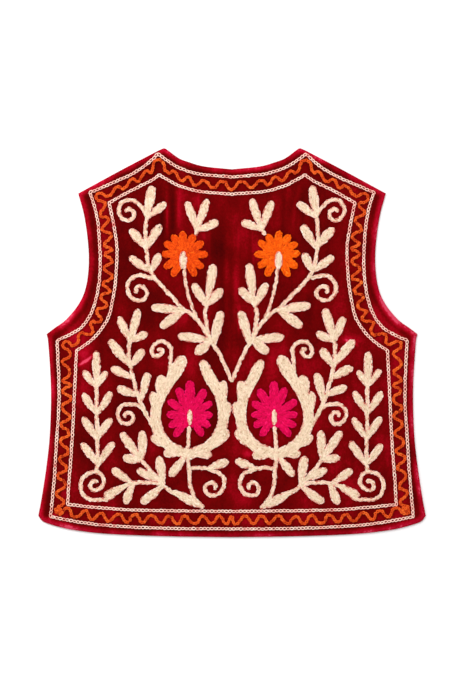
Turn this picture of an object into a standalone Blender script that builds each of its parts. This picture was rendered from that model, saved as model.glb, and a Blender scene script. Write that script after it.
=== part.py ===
"""A velvet waistcoat laid flat on its two fronts, its embroidered back uppermost.

Frame: +Z up, the origin under the middle of the cloth on the surface that it lies on, +Y from the
hem to the neck, +X to the right as the back is seen. Tables hold millimetres, for one half of the
back: "out" is the distance from the centre line and "up" the height above the middle of the hem.
"""

import math

import bmesh
import bpy
import numpy as np
from mathutils import Vector
from mathutils.geometry import delaunay_2d_cdt

MM = 0.001
LENGTH = 526.0  # hem to the top of the shoulders
CLOTH = 2.0  # velvet and its backing
FRONT = 2.2  # thickness of a front, pressed flat
GAP = 0.3  # between neighbouring pieces
EDGE_STEP = 13.0  # between the points of an outline
THREAD = 0.8  # height of the embroidery over the velvet
LOFT = 2.0  # how far the back rises above its own edge
RIM = 12.0  # width of the edge over which it rises
RIPPLE = 0.4  # slow unevenness of the cloth
PINNED = 75.0  # reach of the shoulder seam's ends, which hold the back down on the fronts
PLEAT_HIGH = 1.0
PLEAT_WIDE = 18.0
OPENING = 3.0  # between the two fronts
SCOOP = 7.0  # how far a front's armhole is cut inside the back's
FRONT_NECK_FOOT = 372.0  # height of the foot of the front neckline
NET_WIDE, NET_HIGH = 29.0, 26.0  # between the points of the back's middle

CHAIN_WIDE = 4.0
WAVE_WIDE = 4.2
LEAF_WIDE = 11.8
STEM_WIDE = 5.0
ARM_WIDE = 13.5
COIL_POWER = 1.3

# Each side of the back from its first corner to its last, as (out, up).
EDGE = {
    "hem": [(0, 0), (70, 0.8), (135, 3.4), (178, 6.8), (221, 12), (243, 17.6), (256, 22), (262, 29)],
    "side": [(262, 29), (256.5, 56), (250, 99), (245.7, 142), (244.4, 200), (247.7, 261), (249.8, 274)],
    "armhole": [(249.8, 274), (239, 282), (223.4, 293.6), (206.6, 315), (197.8, 337), (193.7, 365),
                (193.7, 395), (198.5, 434), (206.5, 463.7)],
    "shoulder": [(206.5, 463.7), (150, 494.5), (98, 522.6)],
    "point": [(98, 522.6), (91.5, 526), (86, 522.6)],
    "neck": [(86, 522.6), (72, 512.5), (59.4, 507.6), (37.8, 501.5), (0, 497.5)],
}
OUTER_LINE = {
    "hem": [(0, 11.5), (86.4, 12.2), (151.2, 14.9), (199.8, 19.6), (245, 28)],
    "side": [(245, 28), (240.3, 77.6), (236.9, 131.6), (233.6, 185.6), (235, 239.6), (236.5, 266)],
    "armhole": [(236.5, 266), (217.4, 274.7), (201.8, 285.5), (188.3, 307.1), (180.2, 339.5),
                (178, 375), (180.2, 415.1), (184, 440), (191.7, 466)],
    "shoulder": [(191.7, 466), (160, 479.5), (137, 490), (118, 502), (100, 518)],
    "neck": [(100, 518), (83.7, 506.5), (70.2, 498.8), (43.2, 490.7), (0, 486.7)],
}
INNER_LINE = {
    "hem": [(0, 35.1), (70, 35.8), (135, 37.1), (183.6, 40.5), (222, 44.5)],
    "side": [(222, 44.5), (220, 77.6), (216, 131.6), (213.3, 185.6), (210.6, 239.6), (210, 252.5)],
    "armhole": [(210, 252.5), (196.4, 261.2), (181.6, 274.7), (167.4, 296.3), (161.3, 320.6),
                (157, 350), (155.3, 388.1), (158.6, 415.1), (166, 452)],
    "shoulder": [(166, 452), (137.7, 467.8), (110.7, 481.3), (98.5, 489.5)],
    "neck": [(98.5, 489.5), (83.7, 481.3), (70.2, 474.5), (43.2, 467.1), (0, 463.7)],
}
# The zigzag between the two lines: waves along each side, and how far they swing from the middle.
WAVES = {"hem": (10, 5.1), "side": (10, 5.0), "armhole": (10, 5.0), "shoulder": (4, 4.4), "neck": (5, 5.0)}

# A fork of leaves: where it stands (out, up), then each leaf as (degrees from straight up, towards
# the side seam, and length).
UPPER_FORKS = [
    (115, 432, [(-7, 44), (-49, 31)]),
    (115, 390, [(40, 36), (-29, 36)]),
    (109, 359, [(54, 36), (-17, 26)]),
    (64, 306, [(85, 45), (124, 40)]),
    (35, 313, [(26, 35), (-44, 30)]),
    (33, 322, [(-8, 50)]),
    (30, 266, [(84, 43), (126, 27), (-20, 42)]),
]
SPRIG_FORKS = [(47, 415, [(20, 38), (-16, 43), (-69, 30)])]
LOWER_FORKS = [
    (138, 265, [(25, 36), (-16, 45), (-65, 27)]),
    (137, 231, [(35, 44), (-36, 28)]),
    (134, 215, [(64, 30)]),
    (127, 192, [(72, 28), (-23, 31)]),
    (62, 110, [(141, 35)]),
    (33, 93, [(-65, 29)]),
    (122, 104, [(-1, 39), (34, 47), (79, 25)]),
    (93, 70, [(9, 40), (128, 37)]),
    (97, 77, [(67, 33)]),
    (134, 73, [(56, 32), (158, 31)]),
    (142, 69, [(119, 34)]),
    (183, 205, [(0, 45), (41, 23), (-39, 21)]),
    (183, 170, [(35, 30), (-36, 32)]),
    (182, 133, [(37, 31), (-33, 31)]),
    (181, 101, [(42, 28), (-39, 32)]),
]
# The scalloped lobes of the teardrop, as the forks are given.
LOBES = [
    (88, 200, [(-28, 52)]),
    (93, 178, [(4, 43)]),
    (99, 155, [(11, 42)]),
    (84, 123, [(62, 28)]),
    (62, 113, [(88, 30)]),
    (25, 195, [(22, 48)]),
    (18, 165, [(-9, 46)]),
    (16, 140, [(-12, 42)]),
    (30, 122, [(-45, 35)]),
    (60, 116, [(-100, 34)]),
]
# Stems as points (out, up) that a smooth line joins.
UPPER_STEMS = [
    [(115, 434), (117, 415), (115, 390), (110, 360), (99, 344), (82, 326), (66, 308), (54, 300),
     (40, 284), (30, 267), (18, 249), (9, 230), (2.9, 212)],
    [(66, 363), (62, 340), (56, 317), (47, 294)],
    [(35, 313), (36.5, 300), (34, 285), (30, 268)],
]
SPRIG_STEMS = [[(47, 418), (49, 412)]]
LOWER_STEMS = [
    [(138, 267), (139.5, 248), (137, 230), (131, 205), (125, 186), (117, 168), (106, 148)],
    [(57.5, 150), (59, 132), (60, 112), (58, 90), (57, 70), (51, 53), (43, 44)],
    [(122, 104), (112, 92), (99, 78), (93, 69)],
    [(94, 70), (79, 60), (64, 53)],
    [(94, 72), (115, 74), (134, 73), (150, 67)],
    [(183, 207), (182.5, 150), (181, 101), (184.5, 86)],
    [(57, 93), (40, 94), (28, 92)],
]
ARMS = [
    [(66, 240), (77, 222), (90, 204), (98, 187), (102, 170), (101, 152), (94, 138), (82, 125), (60, 114)],
    [(43, 236), (34, 221), (23, 204), (15, 186), (12.5, 168), (14, 152), (21, 138), (34, 125), (60, 114)],
]
# The long leaf that ends the main stem: foot, tip and width.
FOOT_LEAF = ((80, 62), (37, 40), 12.5)
# Coiled tendrils: the point that each leaves its stem at, its centre, the angle that it starts at,
# the angle that it turns through, and its first and last radius.
UPPER_COILS = [
    (116, 437, 141, 439.5, 130, -440, 18.0, 3.0),
    (108, 354, 128, 336.0, 100, -410, 19.0, 3.5),
]
LOWER_COILS = [
    (79, 232, 99, 253.0, 165, -455, 14.5, 2.8),
    (117, 168, 142, 166.5, 125, -445, 16.5, 3.0),
    (165, 54, 186, 69.5, -100, 460, 20.5, 4.0),
    (30, 92, 24.5, 68.0, 80, 430, 21.5, 3.2),
]
# Flowers: centre, reach of the round heart, reach of the petals from the topmost to the lowest, and
# the turn from one petal to the next.
ORANGE_FLOWER = (67, 382, 17.5, [32, 32, 31.5, 29, 33, 34], 29.5)
PINK_FLOWER = (57, 165, 15.0, [47, 41, 36, 32, 33.5, 33.5], 29.5)
# Seeds: centre, half length and half width.
ORANGE_SEED = (67, 374.5, 12.5, 4.8)
PINK_SEED = (57, 162, 11.5, 3.6)
# The hidden neckline of a front, from the end of the shoulder seam down to its foot.
FRONT_NECK = [(93, 520), (80, 498), (45, 438)]
# Soft pleats that fall from the points of the shoulders: out, lowest and highest point.
PLEATS = [(76.5, 402, 470)]

VELVET = (0.20, 0.003, 0.008)
CREAM = (0.87, 0.72, 0.52)
BLUSH_CREAM = (0.90, 0.68, 0.55)
ORANGE = (0.90, 0.12, 0.005)
PINK = (0.80, 0.004, 0.09)


def material(name, colour, roughness):
    made = bpy.data.materials.new(name)
    made.use_nodes = True
    shader = made.node_tree.nodes["Principled BSDF"]
    shader.inputs["Base Color"].default_value = (*colour, 1.0)
    shader.inputs["Roughness"].default_value = roughness
    shader.inputs["Metallic"].default_value = 0.0
    return made


def smooth_line(rows, step):
    """Points about one step apart on a smooth line through the rows, both ends kept."""
    rows = np.array(rows, float)
    padded = np.vstack([2 * rows[0] - rows[1], rows, 2 * rows[-1] - rows[-2]])
    line = [rows[:1]]
    for before, start, end, after in zip(padded, padded[1:], padded[2:], padded[3:]):
        count = max(1, round(float(np.linalg.norm(end - start)) / step))
        t = (np.arange(count)[:, None] + 1) / count
        line.append(
            0.5 * (2 * start + (end - before) * t + (2 * before - 5 * start + 4 * end - after) * t**2
                   + (3 * start - before - 3 * end + after) * t**3)
        )
    return np.vstack(line)


def evenly(line, count):
    """The line again, as count equal steps."""
    run = np.append(0, np.cumsum(np.linalg.norm(np.diff(line, axis=0), axis=1)))
    at = np.linspace(0, run[-1], count + 1)
    return np.column_stack([np.interp(at, run, line[:, 0]), np.interp(at, run, line[:, 1])])


def both_halves(half):
    """A closed line from its half on the right: up the left side to the neck, then down the right."""
    return np.vstack([half * (-1, 1), half[-2:0:-1]])


def closed_ring(sides, step):
    lines = [smooth_line(rows, step) for rows in sides.values()]
    return both_halves(np.vstack([line[:-1] for line in lines] + [lines[-1][-1:]]))


def normals(line, closed, longest=1.67):
    """Unit normals to the left of the line, lengthened at its corners as a mitre is, up to a limit."""
    if closed:
        ahead = np.roll(line, -1, axis=0) - line
        behind = line - np.roll(line, 1, axis=0)
    else:
        ahead = np.vstack([np.diff(line, axis=0), line[-1:] - line[-2:-1]])
        behind = np.vstack([line[1:2] - line[:1], np.diff(line, axis=0)])
    ahead /= np.linalg.norm(ahead, axis=1)[:, None]
    behind /= np.linalg.norm(behind, axis=1)[:, None]
    middle = ahead + behind
    middle /= np.linalg.norm(middle, axis=1)[:, None]
    mitre = np.minimum(1 / (middle * ahead).sum(axis=1), longest)
    return np.column_stack([-middle[:, 1], middle[:, 0]]) * mitre[:, None]


def ribbon(line, width):
    """The outline of a band of this width along an open line."""
    across = normals(line, False) * width / 2
    return np.vstack([line - across, (line + across)[::-1]])


EDGE_RING = closed_ring(EDGE, EDGE_STEP)


def edge_distance(points):
    """How far each point lies from the edge of the back."""
    start = EDGE_RING
    along = np.roll(EDGE_RING, -1, axis=0) - start
    from_start = points[:, None] - start[None]
    t = np.clip((from_start * along).sum(axis=2) / (along**2).sum(axis=1), 0, 1)
    return np.linalg.norm(from_start - t[..., None] * along[None], axis=2).min(axis=1)


def top_of_back(points):
    """Height of the velvet's upper face over each point."""
    inward = np.clip(edge_distance(points) / RIM, 0, 1)
    x, y = points.T
    ripple = RIPPLE * np.sin(x / 61.0 + 0.6) * np.cos(y / 74.0 - 0.4)
    ends = [np.hypot(np.abs(x) - out, y - up) for out, up in (EDGE["shoulder"][0], EDGE["point"][1])]
    free = np.clip(np.min(ends, axis=0) / PINNED, 0, 1)
    loft = (LOFT + ripple) * free**2 * (3 - 2 * free)
    height = FRONT + GAP + CLOTH + loft * (1 - (1 - inward) ** 2)
    for out, low, high in PLEATS:
        across = np.clip(np.abs(np.abs(x) - out) / (PLEAT_WIDE / 2), 0, 1)
        middle = (low + high) / 2
        along = np.clip(np.abs(y - middle) / ((high - low) / 2), 0, 1)
        height += PLEAT_HIGH * np.cos(across * math.pi / 2) ** 2 * np.cos(along * math.pi / 2) ** 2
    return height


def sheet_object(name, outlines, loose, heights, thickness, offset, paint):
    """A sheet over every outline, which also has the loose points, given its thickness by Solidify."""
    points = [Vector(p) for outline in outlines for p in outline] + [Vector(p) for p in loose]
    faces, first = [], 0
    for outline in outlines:
        faces.append(list(range(first, first + len(outline))))
        first += len(outline)
    flat, _, triangles, _, _, origins = delaunay_2d_cdt(points, [], faces, 1, 1e-4)
    inside = [face for face, origin in zip(triangles, origins) if origin]
    flat = np.array([tuple(p) for p in flat])
    z = heights(flat)
    mesh = bpy.data.meshes.new(name)
    corners = [(x * MM, (y - LENGTH / 2) * MM, up * MM) for (x, y), up in zip(flat, z)]
    mesh.from_pydata(corners, [], inside)
    shape = bmesh.new()
    shape.from_mesh(mesh)
    bmesh.ops.delete(shape, geom=[v for v in shape.verts if not v.link_faces], context="VERTS")
    for face in shape.faces:
        if face.normal.z < 0:
            face.normal_flip()
    shape.to_mesh(mesh)
    shape.free()
    return finish(name, mesh, thickness, offset, paint)


def finish(name, mesh, thickness, offset, paint):
    mesh.materials.append(paint)
    piece = bpy.data.objects.new(name, mesh)
    bpy.data.collections["FolkVest"].objects.link(piece)
    solid = piece.modifiers.new("thickness", "SOLIDIFY")
    solid.thickness = thickness * MM
    solid.offset = offset
    solid.use_even_offset = True
    return piece


def on_velvet(points):
    return top_of_back(points) + GAP


def on_flower(points):
    return on_velvet(points) + THREAD + GAP


def loop_object(name, line, width, paint):
    """A closed band that lies on the velvet."""
    across = normals(line, True, 1.3) * width / 2
    flat = np.vstack([line + across, line - across])
    z = on_velvet(flat)
    count = len(line)
    faces = [(i, count + i, count + (i + 1) % count, (i + 1) % count) for i in range(count)]
    mesh = bpy.data.meshes.new(name)
    mesh.from_pydata([(x * MM, (y - LENGTH / 2) * MM, up * MM) for (x, y), up in zip(flat, z)], [], faces)
    if mesh.polygons[0].normal.z < 0:
        mesh.flip_normals()
    return finish(name, mesh, THREAD, 1.0, paint)


def wave_line():
    """The zigzag between the two chain lines, which points outwards at each corner."""
    half, reach = [], []
    for side, (waves, swing) in WAVES.items():
        outer = evenly(smooth_line(OUTER_LINE[side], 3.0), 2 * waves)
        inner = evenly(smooth_line(INNER_LINE[side], 3.0), 2 * waves)
        half.append((outer + inner)[:-1] / 2)
        reach += [swing, -swing] * waves
    middle = both_halves(np.vstack([*half, (outer + inner)[-1:] / 2]))
    reach = np.array([*reach, reach[0], *reach[:0:-1]])
    return middle + normals(middle, True, 1.25) * reach[:, None]


def leaf(foot, tip, width):
    """A leaf with a narrow foot, its widest place two thirds up and a round tip."""
    foot, tip = np.array(foot, float), np.array(tip, float)
    along = tip - foot
    length = np.linalg.norm(along)
    across = np.array([-along[1], along[0]]) / length
    steps = [(0.0, STEM_WIDE * 0.42), (0.35, width * 0.38), (0.72, width * 0.5), (0.94, width * 0.34)]
    right = [foot + along * t - across * half for t, half in steps]
    left = [foot + along * t + across * half for t, half in reversed(steps)]
    return np.array([*right, tip, *left])


def fork_leaves(forks):
    outlines = []
    for out, up, leaves in forks:
        for degrees, length in leaves:
            turn = math.radians(degrees)
            tip = (out + length * math.sin(turn), up + length * math.cos(turn))
            outlines.append(leaf((out, up), tip, LEAF_WIDE))
    return outlines


def coil(leave_out, leave_up, centre_out, centre_up, start, turn, first, last):
    """A tendril that leaves its stem and winds in to its centre."""
    count = round(abs(turn) / 38)
    t = np.linspace(0, 1, count)
    angle = np.radians(start + turn * t)
    radius = last + (first - last) * (1 - t**COIL_POWER)
    wound = np.column_stack([centre_out + radius * np.cos(angle), centre_up + radius * np.sin(angle)])
    return ribbon(np.vstack([[leave_out, leave_up], wound]), STEM_WIDE)


def flower(out, up, heart, reaches, turn):
    """A round heart with blunt petals, and a gap at its foot for the stem."""
    petals = [(k, reaches[abs(k)]) for k in range(-len(reaches) + 1, len(reaches))]
    outline = []
    for k, reach in petals:
        for offset, far in ((-0.5, heart), (-0.36, 0.82 * reach), (-0.14, reach), (0.14, reach), (0.36, 0.82 * reach)):
            angle = math.radians(90 + (k + offset) * turn)
            outline.append((out + far * math.cos(angle), up + far * math.sin(angle)))
    angle = math.radians(90 + (len(reaches) - 0.5) * turn)
    outline.append((out + heart * math.cos(angle), up + heart * math.sin(angle)))
    outline.append((out, up - heart))
    return np.array(outline)


def seed(out, up, half_long, half_wide):
    t = np.linspace(0, 2 * math.pi, 10, endpoint=False)
    return np.column_stack([out + half_wide * np.sin(t), up + half_long * np.cos(t)])


def embroider(name, outlines, heights, paint, side):
    """Motifs given for one half of the back, sewn as one piece on the side that is asked for."""
    turned = [outline * (side, 1) for outline in outlines]
    facing = [line if signed_area(line) > 0 else line[::-1] for line in turned]
    return sheet_object(name, facing, [], heights, THREAD, 1.0, paint)


def signed_area(line):
    ahead = np.roll(line, -1, axis=0)
    return 0.5 * float((line[:, 0] * ahead[:, 1] - ahead[:, 0] * line[:, 1]).sum())


def inside(points, ring):
    """Which points lie inside a closed line, by the crossings to the right of each."""
    x, y = points[:, :1], points[:, 1:]
    ahead = np.roll(ring, -1, axis=0)
    spans = (ring[:, 1] > y) != (ahead[:, 1] > y)
    rise = np.where(spans, ahead[:, 1] - ring[:, 1], 1.0)
    crossing = ring[:, 0] + (y - ring[:, 1]) / rise * (ahead[:, 0] - ring[:, 0])
    return (spans & (crossing > x)).sum(axis=1) % 2 == 1


def field_points():
    """A staggered net over the middle of the back, left open where the pleats have points of their own."""
    columns = np.arange(-8, 9) * NET_WIDE
    rows = np.arange(1, 20) * NET_HIGH
    net = np.array([(x + NET_WIDE / 2 * (j % 2), y) for j, y in enumerate(rows) for x in columns])
    keep = inside(net, EDGE_RING) & (edge_distance(net) > RIM + 7.0)
    for out, low, _ in PLEATS:
        keep &= (np.abs(np.abs(net[:, 0]) - out) > PLEAT_WIDE * 0.75) | (net[:, 1] < low - 12)
    return net[keep]


def pleat_points():
    points = []
    for out, low, high in PLEATS:
        across = out + np.linspace(-0.5, 0.5, 5) * PLEAT_WIDE
        points += [(side * x, y) for side in (-1, 1) for x in across for y in np.linspace(low, high, 7)]
    return np.array(points)


def make_back(paint):
    ring = EDGE_RING[::-1]
    inward = normals(ring, True)
    slope = ring + inward * RIM * 0.38
    shelf = (ring + inward * RIM)[::2]
    loose = np.vstack([slope, shelf, field_points(), pleat_points()])
    loose = loose[edge_distance(loose) > RIM / 3]
    sheet_object("back", [ring], loose, top_of_back, CLOTH, -1.0, paint)


def make_front(name, side, paint):
    """One front, face down: the back's hem, side and shoulder, a deeper armhole and a V neckline."""
    hem = smooth_line([(OPENING / 2, 0), *EDGE["hem"][1:]], EDGE_STEP * 1.5)
    seam = smooth_line(EDGE["side"], EDGE_STEP * 1.5)
    armhole = smooth_line(EDGE["armhole"], EDGE_STEP)
    armhole[:, 0] -= SCOOP * np.sin(np.linspace(0, math.pi, len(armhole)))
    shoulder = smooth_line(EDGE["shoulder"], EDGE_STEP * 4)
    neck = smooth_line([*FRONT_NECK, (OPENING / 2, FRONT_NECK_FOOT)], EDGE_STEP * 2)
    outline = np.vstack([hem[:-1], seam[:-1], armhole[:-1], shoulder, neck]) * (side, 1)
    if signed_area(outline) < 0:
        outline = outline[::-1]
    sheet_object(name, [outline], [], lambda points: np.full(len(points), FRONT), FRONT, -1.0, paint)


def main():
    for old in list(bpy.data.objects):
        bpy.data.objects.remove(old, do_unlink=True)
    bpy.context.scene.collection.children.link(bpy.data.collections.new("FolkVest"))

    velvet = material("CrimsonVelvet", VELVET, 0.8)
    make_back(velvet)
    make_front("front_left", -1, material("CrimsonVelvetLeft", VELVET, 0.8))
    make_front("front_right", 1, material("CrimsonVelvetRight", VELVET, 0.8))

    chain = material("BlushChain", BLUSH_CREAM, 0.6)
    loop_object("chain_outer", closed_ring(OUTER_LINE, 12.0), CHAIN_WIDE, chain)
    loop_object("chain_inner", closed_ring(INNER_LINE, 17.0), CHAIN_WIDE, chain)
    loop_object("zigzag", wave_line(), WAVE_WIDE, material("OrangeZigzag", ORANGE, 0.6))

    cream = material("CreamThread", CREAM, 0.6)
    orange = material("OrangeThread", ORANGE, 0.6)
    pink = material("PinkThread", PINK, 0.6)
    for word, side in (("left", -1), ("right", 1)):
        upper = fork_leaves(UPPER_FORKS) + [ribbon(smooth_line(s, 14.0), STEM_WIDE) for s in UPPER_STEMS]
        upper += [coil(*row) for row in UPPER_COILS]
        embroider(f"vine_upper_{word}", upper, on_velvet, cream, side)
        sprig = fork_leaves(SPRIG_FORKS) + [ribbon(smooth_line(s, 14.0), STEM_WIDE) for s in SPRIG_STEMS]
        embroider(f"sprig_{word}", sprig, on_velvet, cream, side)
        lower = fork_leaves(LOWER_FORKS + LOBES) + [leaf(*FOOT_LEAF)]
        lower += [ribbon(smooth_line(s, 14.0), STEM_WIDE) for s in LOWER_STEMS]
        lower += [ribbon(smooth_line(arm, 14.0), ARM_WIDE) for arm in ARMS]
        lower += [coil(*row) for row in LOWER_COILS]
        embroider(f"vine_lower_{word}", lower, on_velvet, cream, side)
        embroider(f"flower_orange_{word}", [flower(*ORANGE_FLOWER)], on_velvet, orange, side)
        embroider(f"flower_pink_{word}", [flower(*PINK_FLOWER)], on_velvet, pink, side)
        embroider(f"seed_orange_{word}", [seed(*ORANGE_SEED)], on_flower, cream, side)
        embroider(f"seed_pink_{word}", [seed(*PINK_SEED)], on_flower, cream, side)


main()
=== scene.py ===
"""The looks of the velvet waistcoat: soft velvet panels, with every motif worked in chain stitch.

Tables hold millimetres for the back, seen from above: "out" is the distance from the centre line,
"x" the same with its sign (+ on the right), and "up" the height above the middle of the hem. They
turn into the frame's metres in one place, in_frame().
"""

import math

import bpy
import numpy as np
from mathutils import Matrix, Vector
from mathutils.geometry import delaunay_2d_cdt


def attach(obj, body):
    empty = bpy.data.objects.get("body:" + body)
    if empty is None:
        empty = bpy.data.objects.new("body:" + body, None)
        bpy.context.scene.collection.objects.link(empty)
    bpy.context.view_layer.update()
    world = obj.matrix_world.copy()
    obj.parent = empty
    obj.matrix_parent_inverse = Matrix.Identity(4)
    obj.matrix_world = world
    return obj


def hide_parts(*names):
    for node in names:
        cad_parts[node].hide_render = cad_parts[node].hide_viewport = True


MM = 0.001
LENGTH = 526.0  # hem to the top of the shoulders
CLOTH = 2.0  # velvet and its backing
FRONT = 2.2  # thickness of a front, pressed flat
GAP = 0.3  # between the back and the fronts
LOFT = 2.0  # how far the back rises above its own edge
RIM = 12.0  # width of the edge over which it rises
RIPPLE = 0.4  # slow unevenness of the cloth
RIPPLE_ACROSS = 61.0  # and how slowly it changes, in millimetres a radian
RIPPLE_UP = 74.0
PINNED = 75.0  # reach of the shoulder seam's ends, which hold the back down on the fronts
OPENING = 3.0  # between the two fronts
SCOOP = 7.0  # how far a front's armhole is cut inside the back's
FRONT_NECK_FOOT = 372.0  # height of the foot of the front neckline

ROLL = 0.9  # how far the turned edge of the back stands up between the fold and the first stitches
ROLL_WIDE = 9.0
ROLL_LONG = 60.0  # from one of its swellings to the next
FOLD = 2.2  # width of the rounded fold at an edge
SINK = 0.5  # how deep the stitches press into the pile
PUCKER = 0.22  # small waves along the border, drawn up by its stitching
PUCKER_LONG = 23.0
PUCKER_WIDE = 46.0  # how far inwards from the edge they reach
RIM_LIGHT = 0.95  # painted sheen: how much lighter the pile is painted on the rolled edge, where it catches the light
RIM_LIGHT_WIDE = 8.5
RIM_LIGHT_LONG = 130.0  # from one lighter stretch of it to the next

ROW = 1.75  # from one row of stitches to the next
STITCH_LONG = 3.1
STITCH_HIGH = 0.78
STITCH_WIDE = 1.08 * ROW  # a little more than its row, so that rows touch
WIDEST_MIDDLE = 1.6 * ROW  # of the row along a stroke's middle
OUTLINE_STEP = 0.7  # between points of a stroke's outline, of its axis and of longer lines
AXIS_STEP = 0.8
LINE_STEP = 2.0
COARSE_STEP = 5.0
HUMP_STEP = 1.0
END_ROUND = 2.0  # length over which the ends of a stroke round off
EDGE_LONGER = 0.25  # how much longer the outermost stitches are, and how much wider
EDGE_WIDER = 0.14
STRAY = 0.12  # how far stitches stray, how much more the outermost do, and how many degrees they turn
EDGE_STRAY = 0.16
FILLED_TURN = 7.0
CHAIN_TURN = 4.0
PLY_ALONG = 4.2  # turns of a thread's plies along it, in radians a millimetre, and across it
PLY_ACROSS = 3.4
THREAD_TURN = 2.0  # millimetres of thread in each radian of a loop
MOST_ROWS = 8  # inwards from a stroke's outline
OVERLAP = 0.8  # how far the rows of one stroke run into a stroke that was worked before
PAD = 0.3  # height of the under-thread of a filled motif
PAD_INSET = 0.8
# painted shade of the pad, which shows darker between the stitches above it
PAD_LIGHT = 0.3
STEM_WIDE = 5.25
FLOWER_STEM_WIDE = 4.3
STEM_POINT = 7.0  # length over which the main stem runs out to a point
# Where the sections of a leaf or petal lie between its foot and its tip, closer towards the tip.
TO_TIP = 1 - (1 - np.linspace(0, 0.999, 60)) ** 1.5
# The half width of a leaf from its foot to its tip, as shares of its length and of its half width.
LEAF_SHAPE = [(0.0, 0.36), (0.15, 0.54), (0.32, 0.80), (0.52, 0.98), (0.68, 1.0), (0.85, 0.86),
              (1.0, 0.62)]
FOOT_LEAF_SHAPE = [(0.0, 0.42), (0.2, 0.70), (0.38, 0.96), (0.54, 1.0), (0.70, 0.84), (0.86, 0.56),
                   (1.0, 0.34)]
ARM_WIDE = 14.5
ARM_TAPER = 22.0  # length over which the upper end of an arm reaches this width

# Each side of the back from its first corner to its last, as (out, up).
EDGE = {
    "hem": [(0, 0), (70, 0.8), (135, 2.7), (178, 5.2), (205, 8.3), (224, 11.5), (243, 16.5), (256, 21.4),
            (262, 29)],
    "side": [(262, 29), (257, 56), (250.6, 99), (246.3, 142), (244.9, 200), (248.4, 261), (250.8, 274.6)],
    "armhole": [(250.8, 274.6), (240, 282.8), (224.2, 294.5), (207.2, 315.5), (198, 337), (194, 365),
                (194.5, 395), (199.8, 434), (208, 464.8)],
    "shoulder": [(208, 464.8), (150.8, 496), (98.6, 523.4)],
    "point": [(98.6, 523.4), (91.5, 526), (86, 522.6)],
    "neck": [(86, 522.6), (72, 512.5), (59.4, 507.6), (37.8, 501.5), (0, 497.5)],
}
OUTER_LINE = {
    "hem": [(0, 11.5), (86.4, 12.2), (151.2, 14.9), (199.8, 19.6), (245, 28)],
    "side": [(245, 28), (240.3, 77.6), (236.9, 131.6), (233.6, 185.6), (235, 239.6), (236.5, 266)],
    "armhole": [(236.5, 266), (217.4, 274.7), (201.8, 285.5), (188.3, 307.1), (180.2, 339.5),
                (178, 375), (180.2, 415.1), (184, 440), (191.7, 466)],
    "shoulder": [(191.7, 466), (160, 479.5), (137, 490), (118, 502), (100, 518)],
    "neck": [(100, 518), (83.7, 506.5), (70.2, 498.8), (43.2, 490.7), (0, 486.7)],
}
INNER_LINE = {
    "hem": [(0, 35.1), (70, 35.8), (135, 37.1), (183.6, 40.5), (222, 44.5)],
    "side": [(222, 44.5), (220, 77.6), (216, 131.6), (213.3, 185.6), (210.6, 239.6), (210, 252.5)],
    "armhole": [(210, 252.5), (196.4, 261.2), (181.6, 274.7), (167.4, 296.3), (161.3, 320.6),
                (157, 350), (155.3, 388.1), (158.6, 415.1), (166, 452)],
    "shoulder": [(166, 452), (137.7, 467.8), (110.7, 481.3), (98.5, 489.5)],
    "neck": [(98.5, 489.5), (83.7, 481.3), (70.2, 474.5), (43.2, 467.1), (0, 463.7)],
}
# The zigzag between the two lines. For each side, which wave is reached at which share of its length,
# then how far the line swings from the middle, wave by wave. A whole number is a wave's outer top.
WAVES = {
    "hem": ([(0, -0.5), (0.023, 0), (1, 10)], [(-0.5, 4.6), (0, 5.2), (10, 5.4)]),
    "side": ([(0, 0), (0.727, 7), (0.788, 8), (1, 10)], [(0, 5.4), (6, 5.6), (8, 4.9), (10, 5.4)]),
    "armhole": ([(0, 0), (0.2125, 2), (0.5625, 6), (0.653, 7), (0.7125, 8), (1, 11)],
                [(0, 5.4), (2, 5.2), (6, 5.6), (7.5, 4.9), (9, 5.6), (10, 5.0), (11, 5.4)]),
    "shoulder": ([(0, 0), (0.29, 1), (0.748, 3), (0.872, 3.5), (1, 4)], [(0, 5.4), (0.5, 3.6), (4, 3.8)]),
    "neck": ([(0, 0), (0.14, 0.5), (0.233, 1), (0.636, 3), (0.866, 4), (1, 4.5)],
             [(0, 4.0), (2, 4.0), (4.5, 5.0)]),
}
WAVE_SAMPLES = 24
UPRIGHT = ("shoulder", "neck")  # the sides along which the zigzag swings straight up and down
CORNER_KNOT = (233.2, 37.0)
CORNER_KNOT_RADIUS = 2.1
# The wide wave at a point of the neck, from trough to trough: (out, up), and the shares of
# the shoulder and of the neck at which it starts and ends.
NECK_HUMP = [(109.8, 492.4), (108, 494.6), (107, 499), (106.2, 504), (104.8, 507.8), (101.5, 509.5),
             (97.5, 509.5), (94.2, 507.8), (92.2, 504), (91, 499), (89.6, 495.2), (86.4, 492.6)]
HUMP_SHARES = (0.855, 0.15)

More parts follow.
